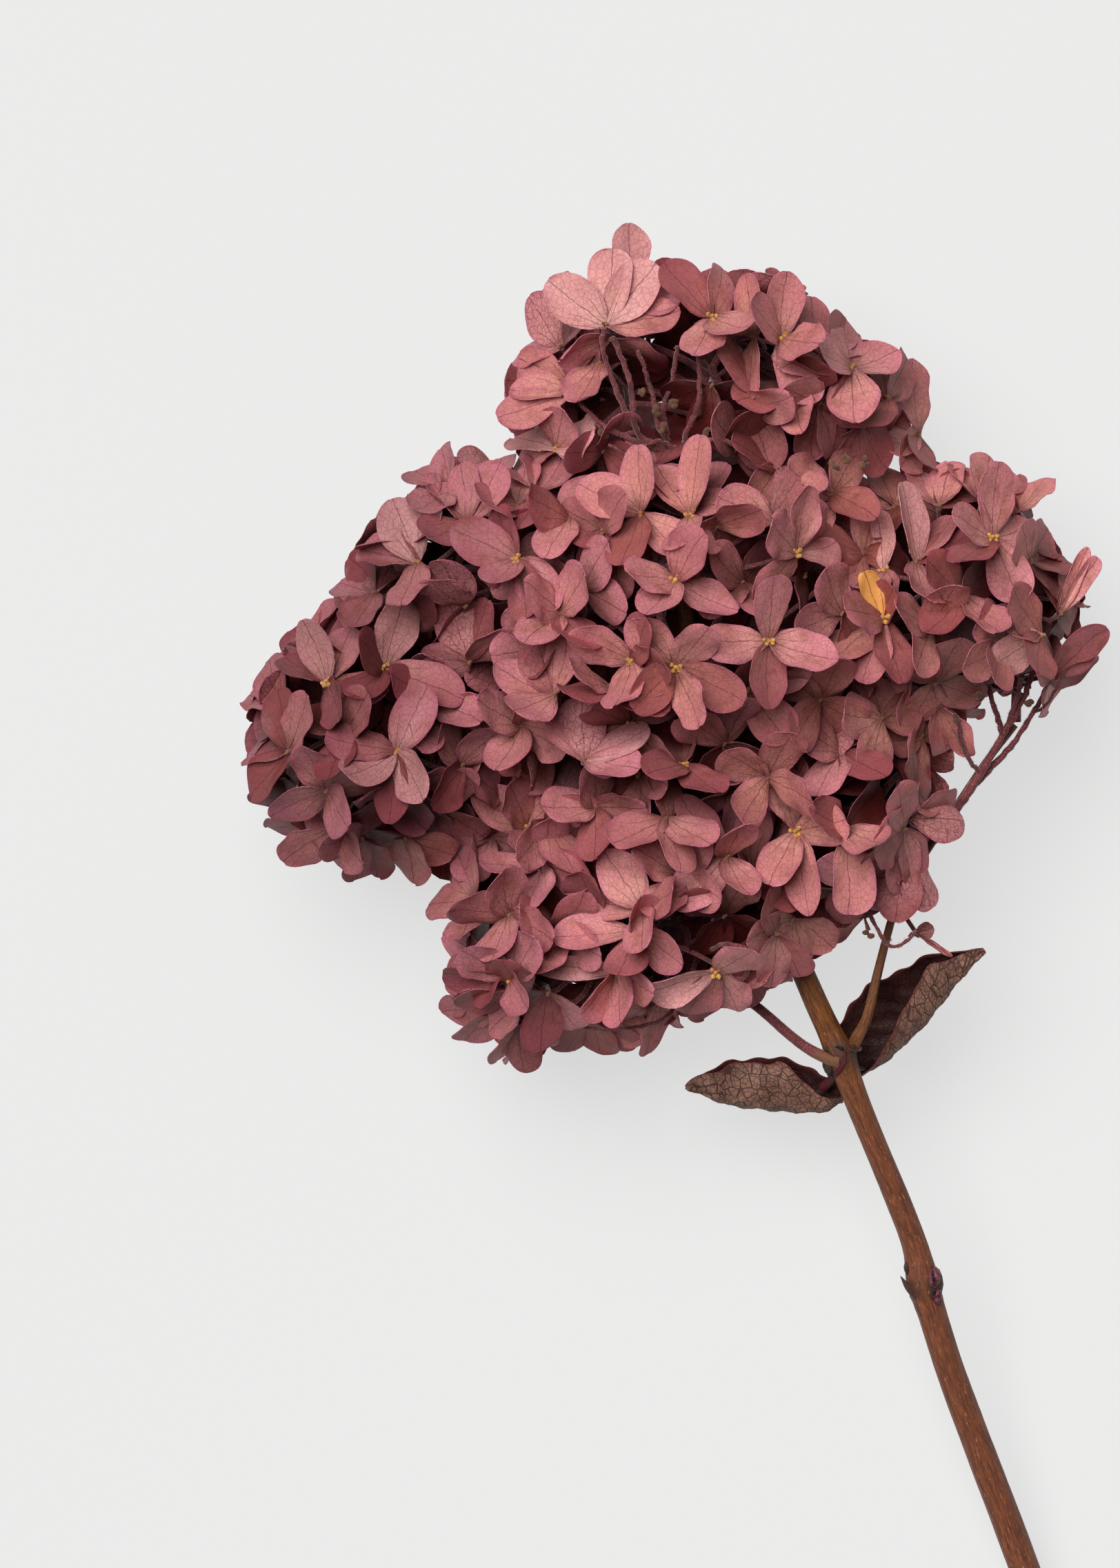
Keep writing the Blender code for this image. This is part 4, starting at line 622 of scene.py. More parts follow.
def sepal_bend(draw, s, wild):
    """How far along and up a sepal's middle goes, for a length of one, and its slope. Its ends stay level."""
    bend = 0.1 + wild * draw.normal(0, 0.4)
    tip_curl = wild * draw.normal(0, 0.55)
    gone = np.linspace(0, 1, BEND_STEPS)
    heading = bend * (gone - 0.4) + tip_curl * np.clip(gone - 0.72, 0, 1) * 2.2
    run = np.concatenate([[0], np.cumsum(np.cos(heading[:-1]))]) / (BEND_STEPS - 1)
    lift = np.concatenate([[0], np.cumsum(np.sin(heading[:-1]))]) / (BEND_STEPS - 1)
    chord = math.atan2(lift[-1], run[-1])
    level_run = run * math.cos(chord) + lift * math.sin(chord)
    level_lift = lift * math.cos(chord) - run * math.sin(chord)
    return (np.interp(s, gone, values) for values in (level_run, level_lift, heading - chord))


def sepal_relief(draw, s, t, half, wild):
    """How far across and how high a sepal's places are: cupped, rippled, grooved, puckered and twisted."""
    cup = 0.25 + wild * draw.normal(0, 0.55)
    cup = cup + wild * np.where(t > 0, draw.normal(0, 0.35), draw.normal(0, 0.35))
    cup = cup * (0.35 + 0.65 * np.sin(np.pi * np.clip(s, 0, 1)) ** 0.7)
    cup = np.where(np.abs(cup) < FLATTEST_CUP, FLATTEST_CUP, cup)
    x = half * np.sin(cup * t) / cup
    raised = half * (1 - np.cos(cup * t)) / cup
    ripple = draw.uniform(0.15, 0.65) * np.abs(t) ** 3
    ripple = ripple * np.sin(s * draw.uniform(8, 15) + draw.uniform(0, 6) + np.where(t > 0, 2.1, 0))
    groove = -0.22 * np.exp(-((t / 0.16) ** 2)) * np.sin(np.pi * s)
    pucker = 0.12 * np.sin(7 * t + 9 * s + draw.uniform(0, 6)) * np.sin(np.pi * s)
    raised = raised + ripple + groove + pucker
    twist = wild * draw.normal(0, 0.18) * s
    return x * np.cos(twist) - raised * np.sin(twist), raised * np.cos(twist) + x * np.sin(twist)


def add_sepal(
    builder, draw, hub, along, across, length, width, tone, kind=(), fineness=FINE_SEPAL, wild=HIDDEN_WILDNESS
):
    """One papery sepal: a thin closed blade with a narrow foot, bent, cupped and rippled."""
    if "back" in kind:
        across = -across
    face = np.cross(along, across)
    rows, columns = fineness
    s = np.sin(np.linspace(0, math.asin(SEPAL_TIP), rows))[:, None]
    t = np.sin(np.linspace(-1, 1, columns) * 1.25)[None, :] / math.sin(1.25)
    half = sepal_outline(draw, s, t, width)
    run, lift, pitch = sepal_bend(draw, s, wild)
    x, raised = sepal_relief(draw, s, t, half, wild)
    y = run * length + 0 * t - raised * np.sin(pitch)
    z = lift * length + raised * np.cos(pitch)
    sheet = hub + x[..., None] * across + y[..., None] * along + z[..., None] * face
    down = np.gradient(sheet, axis=0)
    side = np.gradient(sheet, axis=1)
    normal = np.cross(side, down)
    normal /= np.maximum(np.linalg.norm(normal, axis=2, keepdims=True), 1e-9)
    if np.sum(normal * face) < 0:
        normal = -normal
    thick = (SEPAL_THICKNESS / 2 * (1 - 0.45 * np.abs(t) ** 4) + 0 * s)[..., None]
    thick = thick + 0.25 * np.exp(-s * 14)[..., None]
    points = two_sides(sheet, normal * thick)
    uv = np.stack([0.5 + half * t / UV_SPAN, s * length / UV_SPAN + 0 * t], axis=-1).reshape(-1, 2)
    margin = np.maximum(np.abs(t), ((s - 0.2) / 0.8) ** 2 + 0 * t)
    margin = np.clip(margin + 0 * s, 0, 1).reshape(-1)
    builder.add(
        points,
        blade_quads(rows, columns),
        uv=np.concatenate([uv, uv]),
        tint=tone,
        margin=np.concatenate([margin, margin]),
        outer=np.repeat([0.0, 1.0], rows * columns),
        age=draw.uniform(),
        # A golden sepal has its own colour; a pale one gets painted light, drawn as a lit one.
        gold=1.0 if "gold" in kind else -1.0 if "pale" in kind else 0.0,
        # How much painted shade the sepal gets inside the head, with painted shadow on the left side.
        deep=painted_shade_share(points),
    )


def painted_shade_share(points):
    """How much painted shade a place gets: from 0 at the surface of the head to 1 well inside it. The left side
    gets a little more, as painted shadow.
    """
    shares = [np.sum(((points - centre) / radii) ** 2, axis=1) for centre, radii, _ in LOBES.values()]
    out = np.sqrt(np.min(shares, axis=0))
    # Painted shadow on the left side of the head.
    left = LEFT_SHADOW * np.clip((LEFT_START - points[:, 0]) / LEFT_SPAN, 0, 1)
    return np.clip((DEPTH_SHADE_START - out) / DEPTH_SHADE_SPAN, 0, 1 - left) + left


def tube_points(route, radii, sides):
    """Rings of points round a route, and how far along it each ring is."""
    route = np.asarray(route, float)
    ahead = np.gradient(route, axis=0)
    ahead /= np.linalg.norm(ahead, axis=1, keepdims=True)
    reference = square_to(ahead[0])[0]
    turns = 2 * math.pi * np.arange(sides) / sides
    rings = []
    for place, along, radius in zip(route, ahead, radii):
        reference = unit(reference - along * np.dot(reference, along))
        other = np.cross(along, reference)
        around = np.cos(turns)[:, None] * reference + np.sin(turns)[:, None] * other
        rings.append(place + around * np.asarray(radius)[..., None])
    steps = np.linalg.norm(np.diff(route, axis=0), axis=1)
    return np.array(rings), np.concatenate([[0], np.cumsum(steps)])


def add_tube(builder, route, radii, sides, **values):
    """A closed tube with pinched ends."""
    rings, gone = tube_points(route, radii, sides)
    count = len(rings)
    points = np.concatenate([rings.reshape(-1, 3), [route[0]], [route[-1]]])
    first = np.arange(sides)
    second = np.roll(first, -1)
    last = (count - 1) * sides
    quads = [ring_quads(count, sides), cap_quads(second, first, count * sides)]
    quads.append(cap_quads(first + last, second + last, count * sides + 1))
    uv = np.stack([np.tile(first / sides, count), np.repeat(gone / UV_SPAN, sides)], axis=1)
    uv = np.concatenate([uv, [[0, 0]], [[0, gone[-1] / UV_SPAN]]])
    builder.add(points, np.concatenate(quads), uv=uv, **values)


def add_strand(builder, stations, step, sides, **values):
    """A closed tube along a smooth curve through stations, which hold its radius too."""
    route = curve_through(stations, step)
    add_tube(builder, route[:, :3], route[:, 3], sides, **values)


def curve_through(stations, step):
    """Places along a smooth curve through the stations, about a step apart."""
    stations = np.asarray(stations, float)
    padded = np.concatenate([[2 * stations[0] - stations[1]], stations, [2 * stations[-1] - stations[-2]]])
    route = []
    for i in range(len(stations) - 1):
        before, start, end, after = padded[i : i + 4]
        count = max(2, round(np.linalg.norm(end[:3] - start[:3]) / step))
        t = np.arange(count)[:, None] / count
        part = (end - before) * t + (2 * before - 5 * start + 4 * end - after) * t**2
        part += (3 * start - before - 3 * end + after) * t**3
        route.append(start + part / 2)
    return np.concatenate(route + [stations[-1:]])


def lobe_top(name, x, y):
    """The height of a lobe's upper side."""
    centre, radii, _ = LOBES[name]
    inside = 1 - ((x - centre[0]) / radii[0]) ** 2 - ((y - centre[1]) / radii[1]) ** 2
    return centre[2] + radii[2] * math.sqrt(max(inside, 0))


def head_top(x, y):
    return max(lobe_top(name, x, y) for name in LOBES)


def seen_directions(facing, angle, reach, width, draw, flat=False):
    """A sepal's directions and true size from how it looks. If it looks short or narrow, it leans."""
    if flat:
        length, full = reach * 1.02, width * 1.05
    else:
        length = max(reach, SEPAL_LENGTH * draw.uniform(0.94, 1.06))
        full = max(width, SEPAL_WIDTH * draw.uniform(0.92, 1.06))
    turn = math.radians(angle)
    level = np.array((math.cos(turn), math.sin(turn), 0))
    sideways = np.cross(UP, level)
    lean = math.acos(reach / length)
    falls = np.dot(level, facing) > 0.1
    along = level * math.cos(lean) + UP * (-math.sin(lean) if falls else math.sin(lean))
    over = np.cross(along, sideways)
    roll = math.acos(width / full)
    choices = [sideways * math.cos(roll) + over * math.sin(roll) * sign for sign in (1, -1)]
    across = max(choices, key=lambda choice: np.dot(np.cross(choice, along), -facing))
    return along, across, length, full


def add_centre(builder, draw, hub, facing, size):
    """The dried buds in the middle of a floret."""
    first, second = square_to(facing)
    count = 5 if size > 0.6 else 3
    for i in range(count):
        turn = 2.4 * i + draw.uniform(0, 1)
        out = (first * math.cos(turn) + second * math.sin(turn)) * (0.9 * size if i else 0)
        foot = hub + out + facing * 0.1
        tip = hub + out * draw.uniform(1.2, 1.9) + facing * draw.uniform(1.2, 2.2) * (0.5 + size / 2)
        route = np.linspace(foot, tip, 5)
        radii = np.array([0.35, 0.5, 0.62, 0.55, 0.25]) * (0.55 + 0.5 * size)
        add_tube(builder, route, radii, 6, tint=draw.uniform(), gold=0.35 + 0.65 * size)


def add_stalks(builder, draw, name, hubs):
    """The spray's ray, with branches to groups of florets and a pedicel to each floret."""
    ray = curve_through(LOBES[name][2], 3.0)
    add_tube(builder, ray, np.linspace(*RAY_RADII, len(ray)), 10, tint=draw.uniform())
    feet = curve_through(LOBES[name][2], 2.0)
    feet = feet[len(feet) // 5 :]
    groups = []
    for hub, facing in hubs:
        for group in groups:
            if len(group) < GROUP_SIZE and np.linalg.norm(group[0][0] - hub) < GROUP_REACH:
                group.append((hub, facing))
                break
        else:
            groups.append([(hub, facing)])
    for group in groups:
        middle = np.mean([hub for hub, _ in group], axis=0)
        foot = feet[np.argmin(np.linalg.norm(feet - middle, axis=1))]
        fork = foot + (middle - foot) * 0.52 + draw.normal(0, 1.2, 3)
        stations = [foot, foot + (fork - foot) * 0.5 + draw.normal(0, 1.2, 3), fork]
        route = curve_through(stations, 3.0)
        add_tube(builder, route, np.linspace(*BRANCH_RADII, len(route)), 7, tint=draw.uniform())
        for hub, facing in group:
            below = hub - facing * 5
            stations = [fork, (fork + below) / 2 + draw.normal(0, 1.5, 3), below, hub - facing * 0.2]
            route = curve_through(stations, 2.5)
            radii = np.linspace(*PEDICEL_RADII, len(route))
            radii[-1] = CUSHION_RADIUS
            add_tube(builder, route, radii, 6, tint=draw.uniform())


def add_hairs(builder, draw, route, radii):
    """Short stiff down on a stalk: three-sided spikes."""
    steps = np.linalg.norm(np.diff(route, axis=0), axis=1)
    for i in np.repeat(np.arange(len(steps)), draw.poisson(steps * HAIRS_PER_MM)):
        along = (route[i + 1] - route[i]) / steps[i]
        first, second = square_to(along)
        turn = draw.uniform(0, 2 * math.pi)
        out = first * math.cos(turn) + second * math.sin(turn)
        foot = route[i] + along * draw.uniform(0, steps[i]) + out * radii[i] * 0.8
        side = np.cross(along, out) * HAIR_HALF_WIDTH
        tip = foot + (out + along * draw.normal(0, 0.4)) * (HAIR_LENGTH * draw.uniform(0.6, 1.3))
        corners = [foot + side, foot - side, foot + along * 0.1, tip]
        builder.add(corners, [(0, 1, 3, 3), (1, 2, 3, 3), (2, 0, 3, 3), (1, 0, 2, 2)], tint=1.0)


def add_bare_stalks(stalks, draw, name):
    """Downy stalks that show among the florets, and clusters of dried buds."""
    for stations in BARE_STALKS.get(name, []):
        route = curve_through(stations, 1.2)
        route[1:-1, :3] += draw.normal(0, 0.12, route[1:-1, :3].shape)
        radii = route[:, 3] * (1 + 0.1 * draw.normal(size=len(route)))
        add_tube(stalks, route[:, :3], radii, 8, tint=draw.uniform())
        add_hairs(stalks, draw, route[:, :3], radii)
    for place in DRIED_BUDS.get(name, []):
        for _ in range(3):
            spot = np.array(place) + draw.normal(0, 0.5, 3)
            radii = draw.uniform(0.5, 1.0, 3)
            add_lump(stalks, draw, spot, radii, tint=draw.uniform(), gold=draw.uniform(0.3, 0.5))


def facing_of(x, y):
    return np.array((x, y, math.sqrt(max(1 - x * x - y * y, 0.01))))


def floret_tone(draw, hub):
    """From salmon at 0 to mauve at 1. The left of the head has more mauve."""
    return TONE_MIDDLE - hub[0] / TONE_SPAN + draw.normal(0, TONE_SCATTER)


def inside(outline, x, y):
    """Whether a place seen from above is inside an outline."""
    crossings = 0
    for (x1, y1), (x2, y2) in zip(outline, outline[1:] + outline[:1]):
        if (y1 > y) != (y2 > y) and x < x1 + (y - y1) / (y2 - y1) * (x2 - x1):
            crossings += 1
    return crossings % 2 == 1


def in_view_limits(hub, along, across, length, width):
    """Whether a hidden sepal keeps inside the head's outline and out of the places that show the surface."""
    middle = hub + along * length * 0.6
    spots = [hub + along * (length + 0.5), middle + across * width * 0.45, middle - across * width * 0.45]
    if not all(inside(HEAD_OUTLINE, *spot[:2]) for spot in spots):
        return False
    spots += [hub, middle, (middle + hub) / 2, (middle + spots[0]) / 2]
    for place, radius, height in THIN_PLACES:
        if any(spot[2] > height and math.dist(spot[:2], place) < radius for spot in spots):
            return False
    return all(math.dist(spot[:2], hole) > radius for hole, radius in SEE_THROUGH for spot in spots)


def seen_hub(x, y, depth):
    return np.array((x, y, head_top(x, y) - HUB_GAP - depth))


def grow_seen(petals, stalks, draw, name, hubs):
    """The florets that are placed one by one on the upper side of a lobe."""
    for x, y, depth, face_x, face_y, centre, sepals in FLORETS[name]:
        facing = facing_of(face_x, face_y)
        hub = seen_hub(x, y, depth)
        tone = floret_tone(draw, hub)
        for angle, reach, width, *kind in sepals:
            directions = seen_directions(facing, angle, reach, width, draw, "flat" in kind)
            shade = tone + draw.normal(0, 0.08)
            add_sepal(petals, draw, hub, *directions, shade, kind, wild=SEEN_WILDNESS)
        add_centre(stalks, draw, hub, facing, centre)
        hubs.append((hub, facing))


def grow_whole(petals, stalks, draw, hub, facing, lift, hubs, first=None, fineness=FINE_SEPAL):
    """A floret of four sepals round the way it faces, folded if need be to keep inside the head's outline."""
    first_way, second_way = square_to(facing)
    first = draw.uniform(0, 2 * math.pi) if first is None else first
    tone = floret_tone(draw, hub)
    grown = 0
    for i in range(4):
        turn = first + i * math.pi / 2 + draw.normal(0, 0.14)
        level = first_way * math.cos(turn) + second_way * math.sin(turn)
        raised = lift + draw.normal(0, 0.16)
        length = SEPAL_LENGTH * draw.uniform(0.85, 1.08)
        width = SEPAL_WIDTH * draw.uniform(0.85, 1.08)
        roll = draw.normal(0, 0.25)
        for fold in FOLDS:
            along = level * math.cos(raised + fold) + facing * math.sin(raised + fold)
            across = turned(np.cross(facing, level), along, roll)
            if in_view_limits(hub, along, across, length, width):
                shade = tone + draw.normal(0, 0.08)
                add_sepal(petals, draw, hub, along, across, length, width, shade, fineness=fineness)
                grown += 1
                break
    if grown:
        add_centre(stalks, draw, hub, facing, 0.4)
        hubs.append((hub, facing))


def grow_low_ring(petals, stalks, draw, middle, hubs):
    """Florets that crowd round and above one that the head rests on."""
    start = draw.uniform(0, 2 * math.pi)
    for i in range(LOW_RING):
        turn = start + 2 * math.pi * i / LOW_RING
        way = np.array((math.cos(turn), math.sin(turn), 0))
        hub = middle + way * LOW_RING_REACH + UP * draw.uniform(*LOW_RING_RISE)
        facing = unit(way * 0.4 - UP)
        grow_whole(petals, stalks, draw, hub, facing, draw.uniform(-0.1, 0.12), hubs, fineness=COARSE_SEPAL)


def deep_in_another(name, place):
    """Whether a place is well inside another lobe than the named one."""
    for centre, radii, _ in LOBES.values():
        away = sum(((p - c) / r) ** 2 for p, c, r in zip(place, centre, radii))
        if centre != LOBES[name][0] and away < COVERED:
            return True
    return False


def grow_hidden(petals, stalks, draw, name, hubs, taken):
    """Florets under the seen ones, round the sides and on the underside of a lobe."""
    centre, radii, _ = LOBES[name]
    centre, radii = np.array(centre, float), np.array(radii, float)
    for i in range(HIDDEN_TRIES):
        height = HIDDEN_TOP - HIDDEN_SPAN * i / HIDDEN_TRIES
        level = math.sqrt(max(1 - height**2, 0))
        turn = GOLDEN_ANGLE * i + draw.uniform(-0.2, 0.2)
        way = np.array((level * math.cos(turn), level * math.sin(turn), height))
        above = height > UPPER_SIDE
        hub = centre + radii * way * np.array(UPPER_SHELL if above else LOWER_SHELL)
        if hub[2] < LOWEST_HUB or deep_in_another(name, hub):
            continue
        if name in ("spray_centre", "spray_under") and above != (name == "spray_centre"):
            continue
        spacing = UPPER_SPACING if above else LOWER_SPACING
        if taken and min(np.linalg.norm(hub - other) for other in taken) < spacing:
            continue
        facing = unit(way / radii + draw.normal(0, 0.006, 3))
        grow_whole(petals, stalks, draw, hub, facing, draw.uniform(0.0, 0.85 if above else 0.45), hubs)
        taken.append(hub)


def grow_core(petals, stalks, draw, name, hubs):
    """Florets well inside a lobe, darkened by painted shade from their depth, which darken the gaps between the
    others.
    """
    if name == "spray_under":
        return
    centre, radii, _ = LOBES[name]
    count = round(radii[0] * radii[1] / CORE_AREA)
    for i in range(count):
        out = math.sqrt((i + 0.5) / count) * CORE_REACH
        turn = GOLDEN_ANGLE * i
        x = centre[0] + radii[0] * out * math.cos(turn)
        y = centre[1] + radii[1] * out * math.sin(turn)
        hub = np.array((x, y, centre[2] - CORE_DROP + draw.uniform(-5, 5)))
        facing = unit((draw.normal(0, 0.15), draw.normal(0, 0.15), 1))
        grow_whole(petals, stalks, draw, hub, facing, draw.uniform(-0.1, 0.2), hubs, fineness=COARSE_SEPAL)


def make_sprays(sepal_finish, stalk_finish):
    """Each lobe's florets and stalks, as two pieces."""
    taken = [seen_hub(*floret[:3]) for florets in FLORETS.values() for floret in florets]
    for number, name in enumerate(LOBES):
        draw = np.random.default_rng(40 + number)
        low_draw = np.random.default_rng(80 + number)
        petals = Builder(name.replace("spray", "sepals"))
        stalks = Builder(name.replace("spray", "stalks"))
        hubs = []
        grow_seen(petals, stalks, draw, name, hubs)
        for x, y, angle in RESTING_FLORETS.get(name, []):
            hub = np.array((x, y, RESTING_HUB))
            grow_whole(petals, stalks, draw, hub, -UP, 0.3, hubs, math.radians(angle))
            grow_low_ring(petals, stalks, low_draw, hub, hubs)
            taken.append(hub)
        grow_hidden(petals, stalks, draw, name, hubs, taken)
        grow_core(petals, stalks, draw, name, hubs)
        add_stalks(stalks, draw, name, hubs)
        add_bare_stalks(stalks, draw, name)
        petals.make(sepal_finish, "sepals", name)
        stalks.make(stalk_finish, "plum_stalk", name)


def joint_share(places, joint, reach):
    """From 1 at a joint to 0 at a distance from it."""
    away = np.linalg.norm(places - np.array(joint), axis=-1)
    return np.exp(-((away / reach) ** 2))


def make_stem(finish):
    """The main stem: ridged bark, two swollen joints, the lower one with a bud scale and a leaf scar."""
    draw = np.random.default_rng(7)
    stem = Builder("woody_stem")
    stations = curve_through(STEM_ROUTE, STEM_RING_GAP)
    route, girth = stations[:, :3], stations[:, 3]
    turns = 2 * math.pi * np.arange(STEM_SIDES) / STEM_SIDES
    gone = np.concatenate([[0], np.cumsum(np.linalg.norm(np.diff(route, axis=0), axis=1))])[:, None]
    ridges = 0.012 * np.sin(5 * turns + gone * 0.02)
    ridges = ridges + 0.01 * np.sin(11 * turns + 1 + 0.4 * np.sin(gone * 0.09))
    ridges = ridges + 0.008 * np.sin(17 * turns + 2 * np.sin(gone * 0.05))
    lumps = 0.02 * np.sin(gone * 0.35 + 2 * np.sin(turns)) + 0.012 * draw.normal(size=ridges.shape)
    swollen = joint_share(route, UPPER_JOINT, 4)[:, None] + joint_share(route, LOWER_JOINT, 4)[:, None]
    radii = girth[:, None] * (1 + ridges + lumps * (0.25 + 1.4 * swollen))
    rings, gone = tube_points(route, radii, STEM_SIDES)
    along = unit(route[-1] - route[-2])
    rings[-1] += along * ((rings[-1] - route[-1])[:, 2:3] * CUT_SLANT)
    count = len(rings)
    pith = route[-1] + (rings[-1] - route[-1]) * 0.25
    points = np.concatenate([rings.reshape(-1, 3), pith, [route[-1] + along * 0.05], [route[0]]])
    side = np.arange(STEM_SIDES)
    after = np.roll(side, -1)
    low = count * STEM_SIDES
    middle = low + STEM_SIDES
    quads = [ring_quads(count + 1, STEM_SIDES), cap_quads(side + low, after + low, middle)]
    quads.append(cap_quads(after, side, middle + 1))
    size = len(points)
    uv = np.zeros((size, 2))
    uv[:low, 0] = np.tile(side / STEM_SIDES, count)
    uv[:low, 1] = np.repeat(gone / UV_SPAN, STEM_SIDES)
    cut = np.zeros(size)
    cut[low - STEM_SIDES : -1] = 1
    joints = joint_share(points, UPPER_JOINT, 5.5) + joint_share(points, LOWER_JOINT, 4.5)
    upper = np.clip((points[:, 1] + 114) / 22, 0, 1)
    stem.add(points, np.concatenate(quads), uv=uv, tint=upper, age=joints, outer=cut)
    add_joint_scraps(stem, draw)
    stem.make(finish, "wood", "stem", sharp=40)


def add_joint_scraps(stem, draw):
    """The lower joint's bud scale, leaf scar and torn rim, and the upper joint's crack and collar."""
    scale = [(53.4, -151.2, 33, 1.2), (51.3, -149.2, 33.8, 0.8), (49.6, -146.7, 34.2, 0.1)]
    add_strand(stem, scale, 0.8, 10, tint=0.3, age=0.7, gold=0.3)
    rim = [(51.6, -146.8, 33.8, 0.4), (51.2, -144.6, 34.2, 0.9), (51.5, -142.2, 34.5, 0.3)]
    add_strand(stem, rim, 0.8, 10, tint=0.3, age=1.0)
    crack = [(32.9, -94, 47.9, 0.3), (34.2, -92.9, 48.7, 0.55)]
    crack += [(35.7, -93.3, 49, 0.5), (36.7, -94.6, 48.7, 0.2)]
    add_strand(stem, crack, 0.6, 8, gold=-0.6)
    for place, radii, gold, age in (
        ((57.3, -148.6, 33.1), (2.3, 4.4, 2.3), 0.0, 1.0),
        ((57.6, -147.0, 34.1), (1.6, 2.7, 2.1), 1.0, 0.0),
        ((58.3, -151.3, 33.7), (1.1, 2.2, 1.9), 1.0, 0.0),
        ((57.4, -150.2, 35.4), (0.45, 0.8, 0.5), -0.6, 0.0),
        ((57.2, -146.6, 36.0), (0.35, 1.5, 0.35), -0.6, 0.0),
        ((52.2, -145.5, 33.4), (1.2, 2.6, 1.6), 0.0, 1.0),
        ((33.3, -98.6, 45.6), (1.2, 1.7, 1.4), -0.6, 0.0),
        ((32.9, -95.6, 45.4), (1.9, 4.2, 2.4), 0.0, 1.0),
        ((33.8, -92.6, 46.9), (1.9, 2.6, 1.9), 0.0, 1.0),
        ((39.6, -93.2, 46.0), (0.9, 0.8, 1.2), 0.8, 0.0),
    ):
        add_lump(stem, draw, place, radii, gold=gold, age=age, tint=0.3)
    for turn in range(9):
        angle = math.radians(200 + 22 * turn)
        place = np.array(UPPER_JOINT) + (3.2 * math.cos(angle), 1.4 + 1.2 * math.sin(angle), 2.2)
        add_lump(stem, draw, place, (0.8, 0.6, 0.9), age=1.0, tint=0.5)


def add_lump(builder, draw, place, radii, **values):
    """A small uneven ball."""
    rows, columns = 9, 14
    height = np.cos(np.linspace(0, math.pi, rows))[:, None]
    turns = 2 * math.pi * np.arange(columns)[None, :] / columns
    level = np.sqrt(1 - height**2)
    shape = np.stack([level * np.cos(turns), level * np.sin(turns), height + 0 * turns], axis=-1)
    shape = shape * (1 + draw.normal(0, 0.05, (rows, columns, 1)))
    points = np.array(place) + shape.reshape(-1, 3) * np.array(radii)
    builder.add(points, ring_quads(rows, columns)[:, [1, 0, 3, 2]], **values)


def make_shoots(bark, plum):
    """The brown shoot on the right and the plum one on the left."""
    draw = np.random.default_rng(8)
    for name, stations, finish, slot in (
        ("side_shoot_right", SIDE_SHOOT_RIGHT, bark, "wood"),
        ("side_shoot_left", SIDE_SHOOT_LEFT, plum, "plum_stalk"),
    ):
        shoot = Builder("twig" + name.removeprefix("side_shoot"))
        line = curve_through(stations, 0.8)
        turns = 2 * math.pi * np.arange(SHOOT_SIDES) / SHOOT_SIDES
        uneven = 1 + 0.03 * np.sin(3 * turns + line[:, 1:2] * 0.5)
        uneven = uneven + draw.normal(0, 0.015, (len(line), SHOOT_SIDES))
        near = joint_share(line[:, :3], SHOOT_FEET, 4.5)
        near = np.concatenate([np.repeat(near, SHOOT_SIDES), near[:1], near[-1:]])
        if slot == "wood":
            values = {"tint": 0.9, "age": near}
        else:
            values = {"tint": 0.6, "margin": near}
        add_tube(shoot, line[:, :3], line[:, 3:4] * uneven, SHOOT_SIDES, **values)
        if slot == "plum_stalk":
            add_hairs(shoot, draw, line[4:, :3], line[4:, 3])
        shoot.make(finish, slot, name)


def leaf_roll(leaf, u, v):
    """A leaf's points, rolled round its spine, the way out of its outer face, and its fullness."""
    spine = curve_through(leaf["spine"], 0.4)
    gone = np.linspace(0, 1, len(spine))
    places = np.stack([np.interp(u[:, 0], gone, spine[:, k]) for k in range(3)], axis=1)
    swell = np.sin(math.pi * (0.08 + 0.915 * u ** leaf["skew"])) ** 0.75
    swell = swell * (1 + 0.05 * np.sin(u * 19 + 1) + 0.03 * np.sin(u * 37))
    low, start, end, full = leaf["arc"]
    high = start + (end - start) * np.minimum(u / full, 1)
    turn = np.radians(low + (high - low) * v)
    out = leaf["seen_width"] / 2 * swell * (1 - np.cos(turn))
    rise = leaf["height"] / 2 * swell * np.sin(turn)
    sheet = places[:, None, :] + out[..., None] * unit(leaf["across"]) + rise[..., None] * UP
    normal = np.cross(np.gradient(sheet, axis=1), np.gradient(sheet, axis=0))
    return sheet, normal / np.linalg.norm(normal, axis=2, keepdims=True), swell


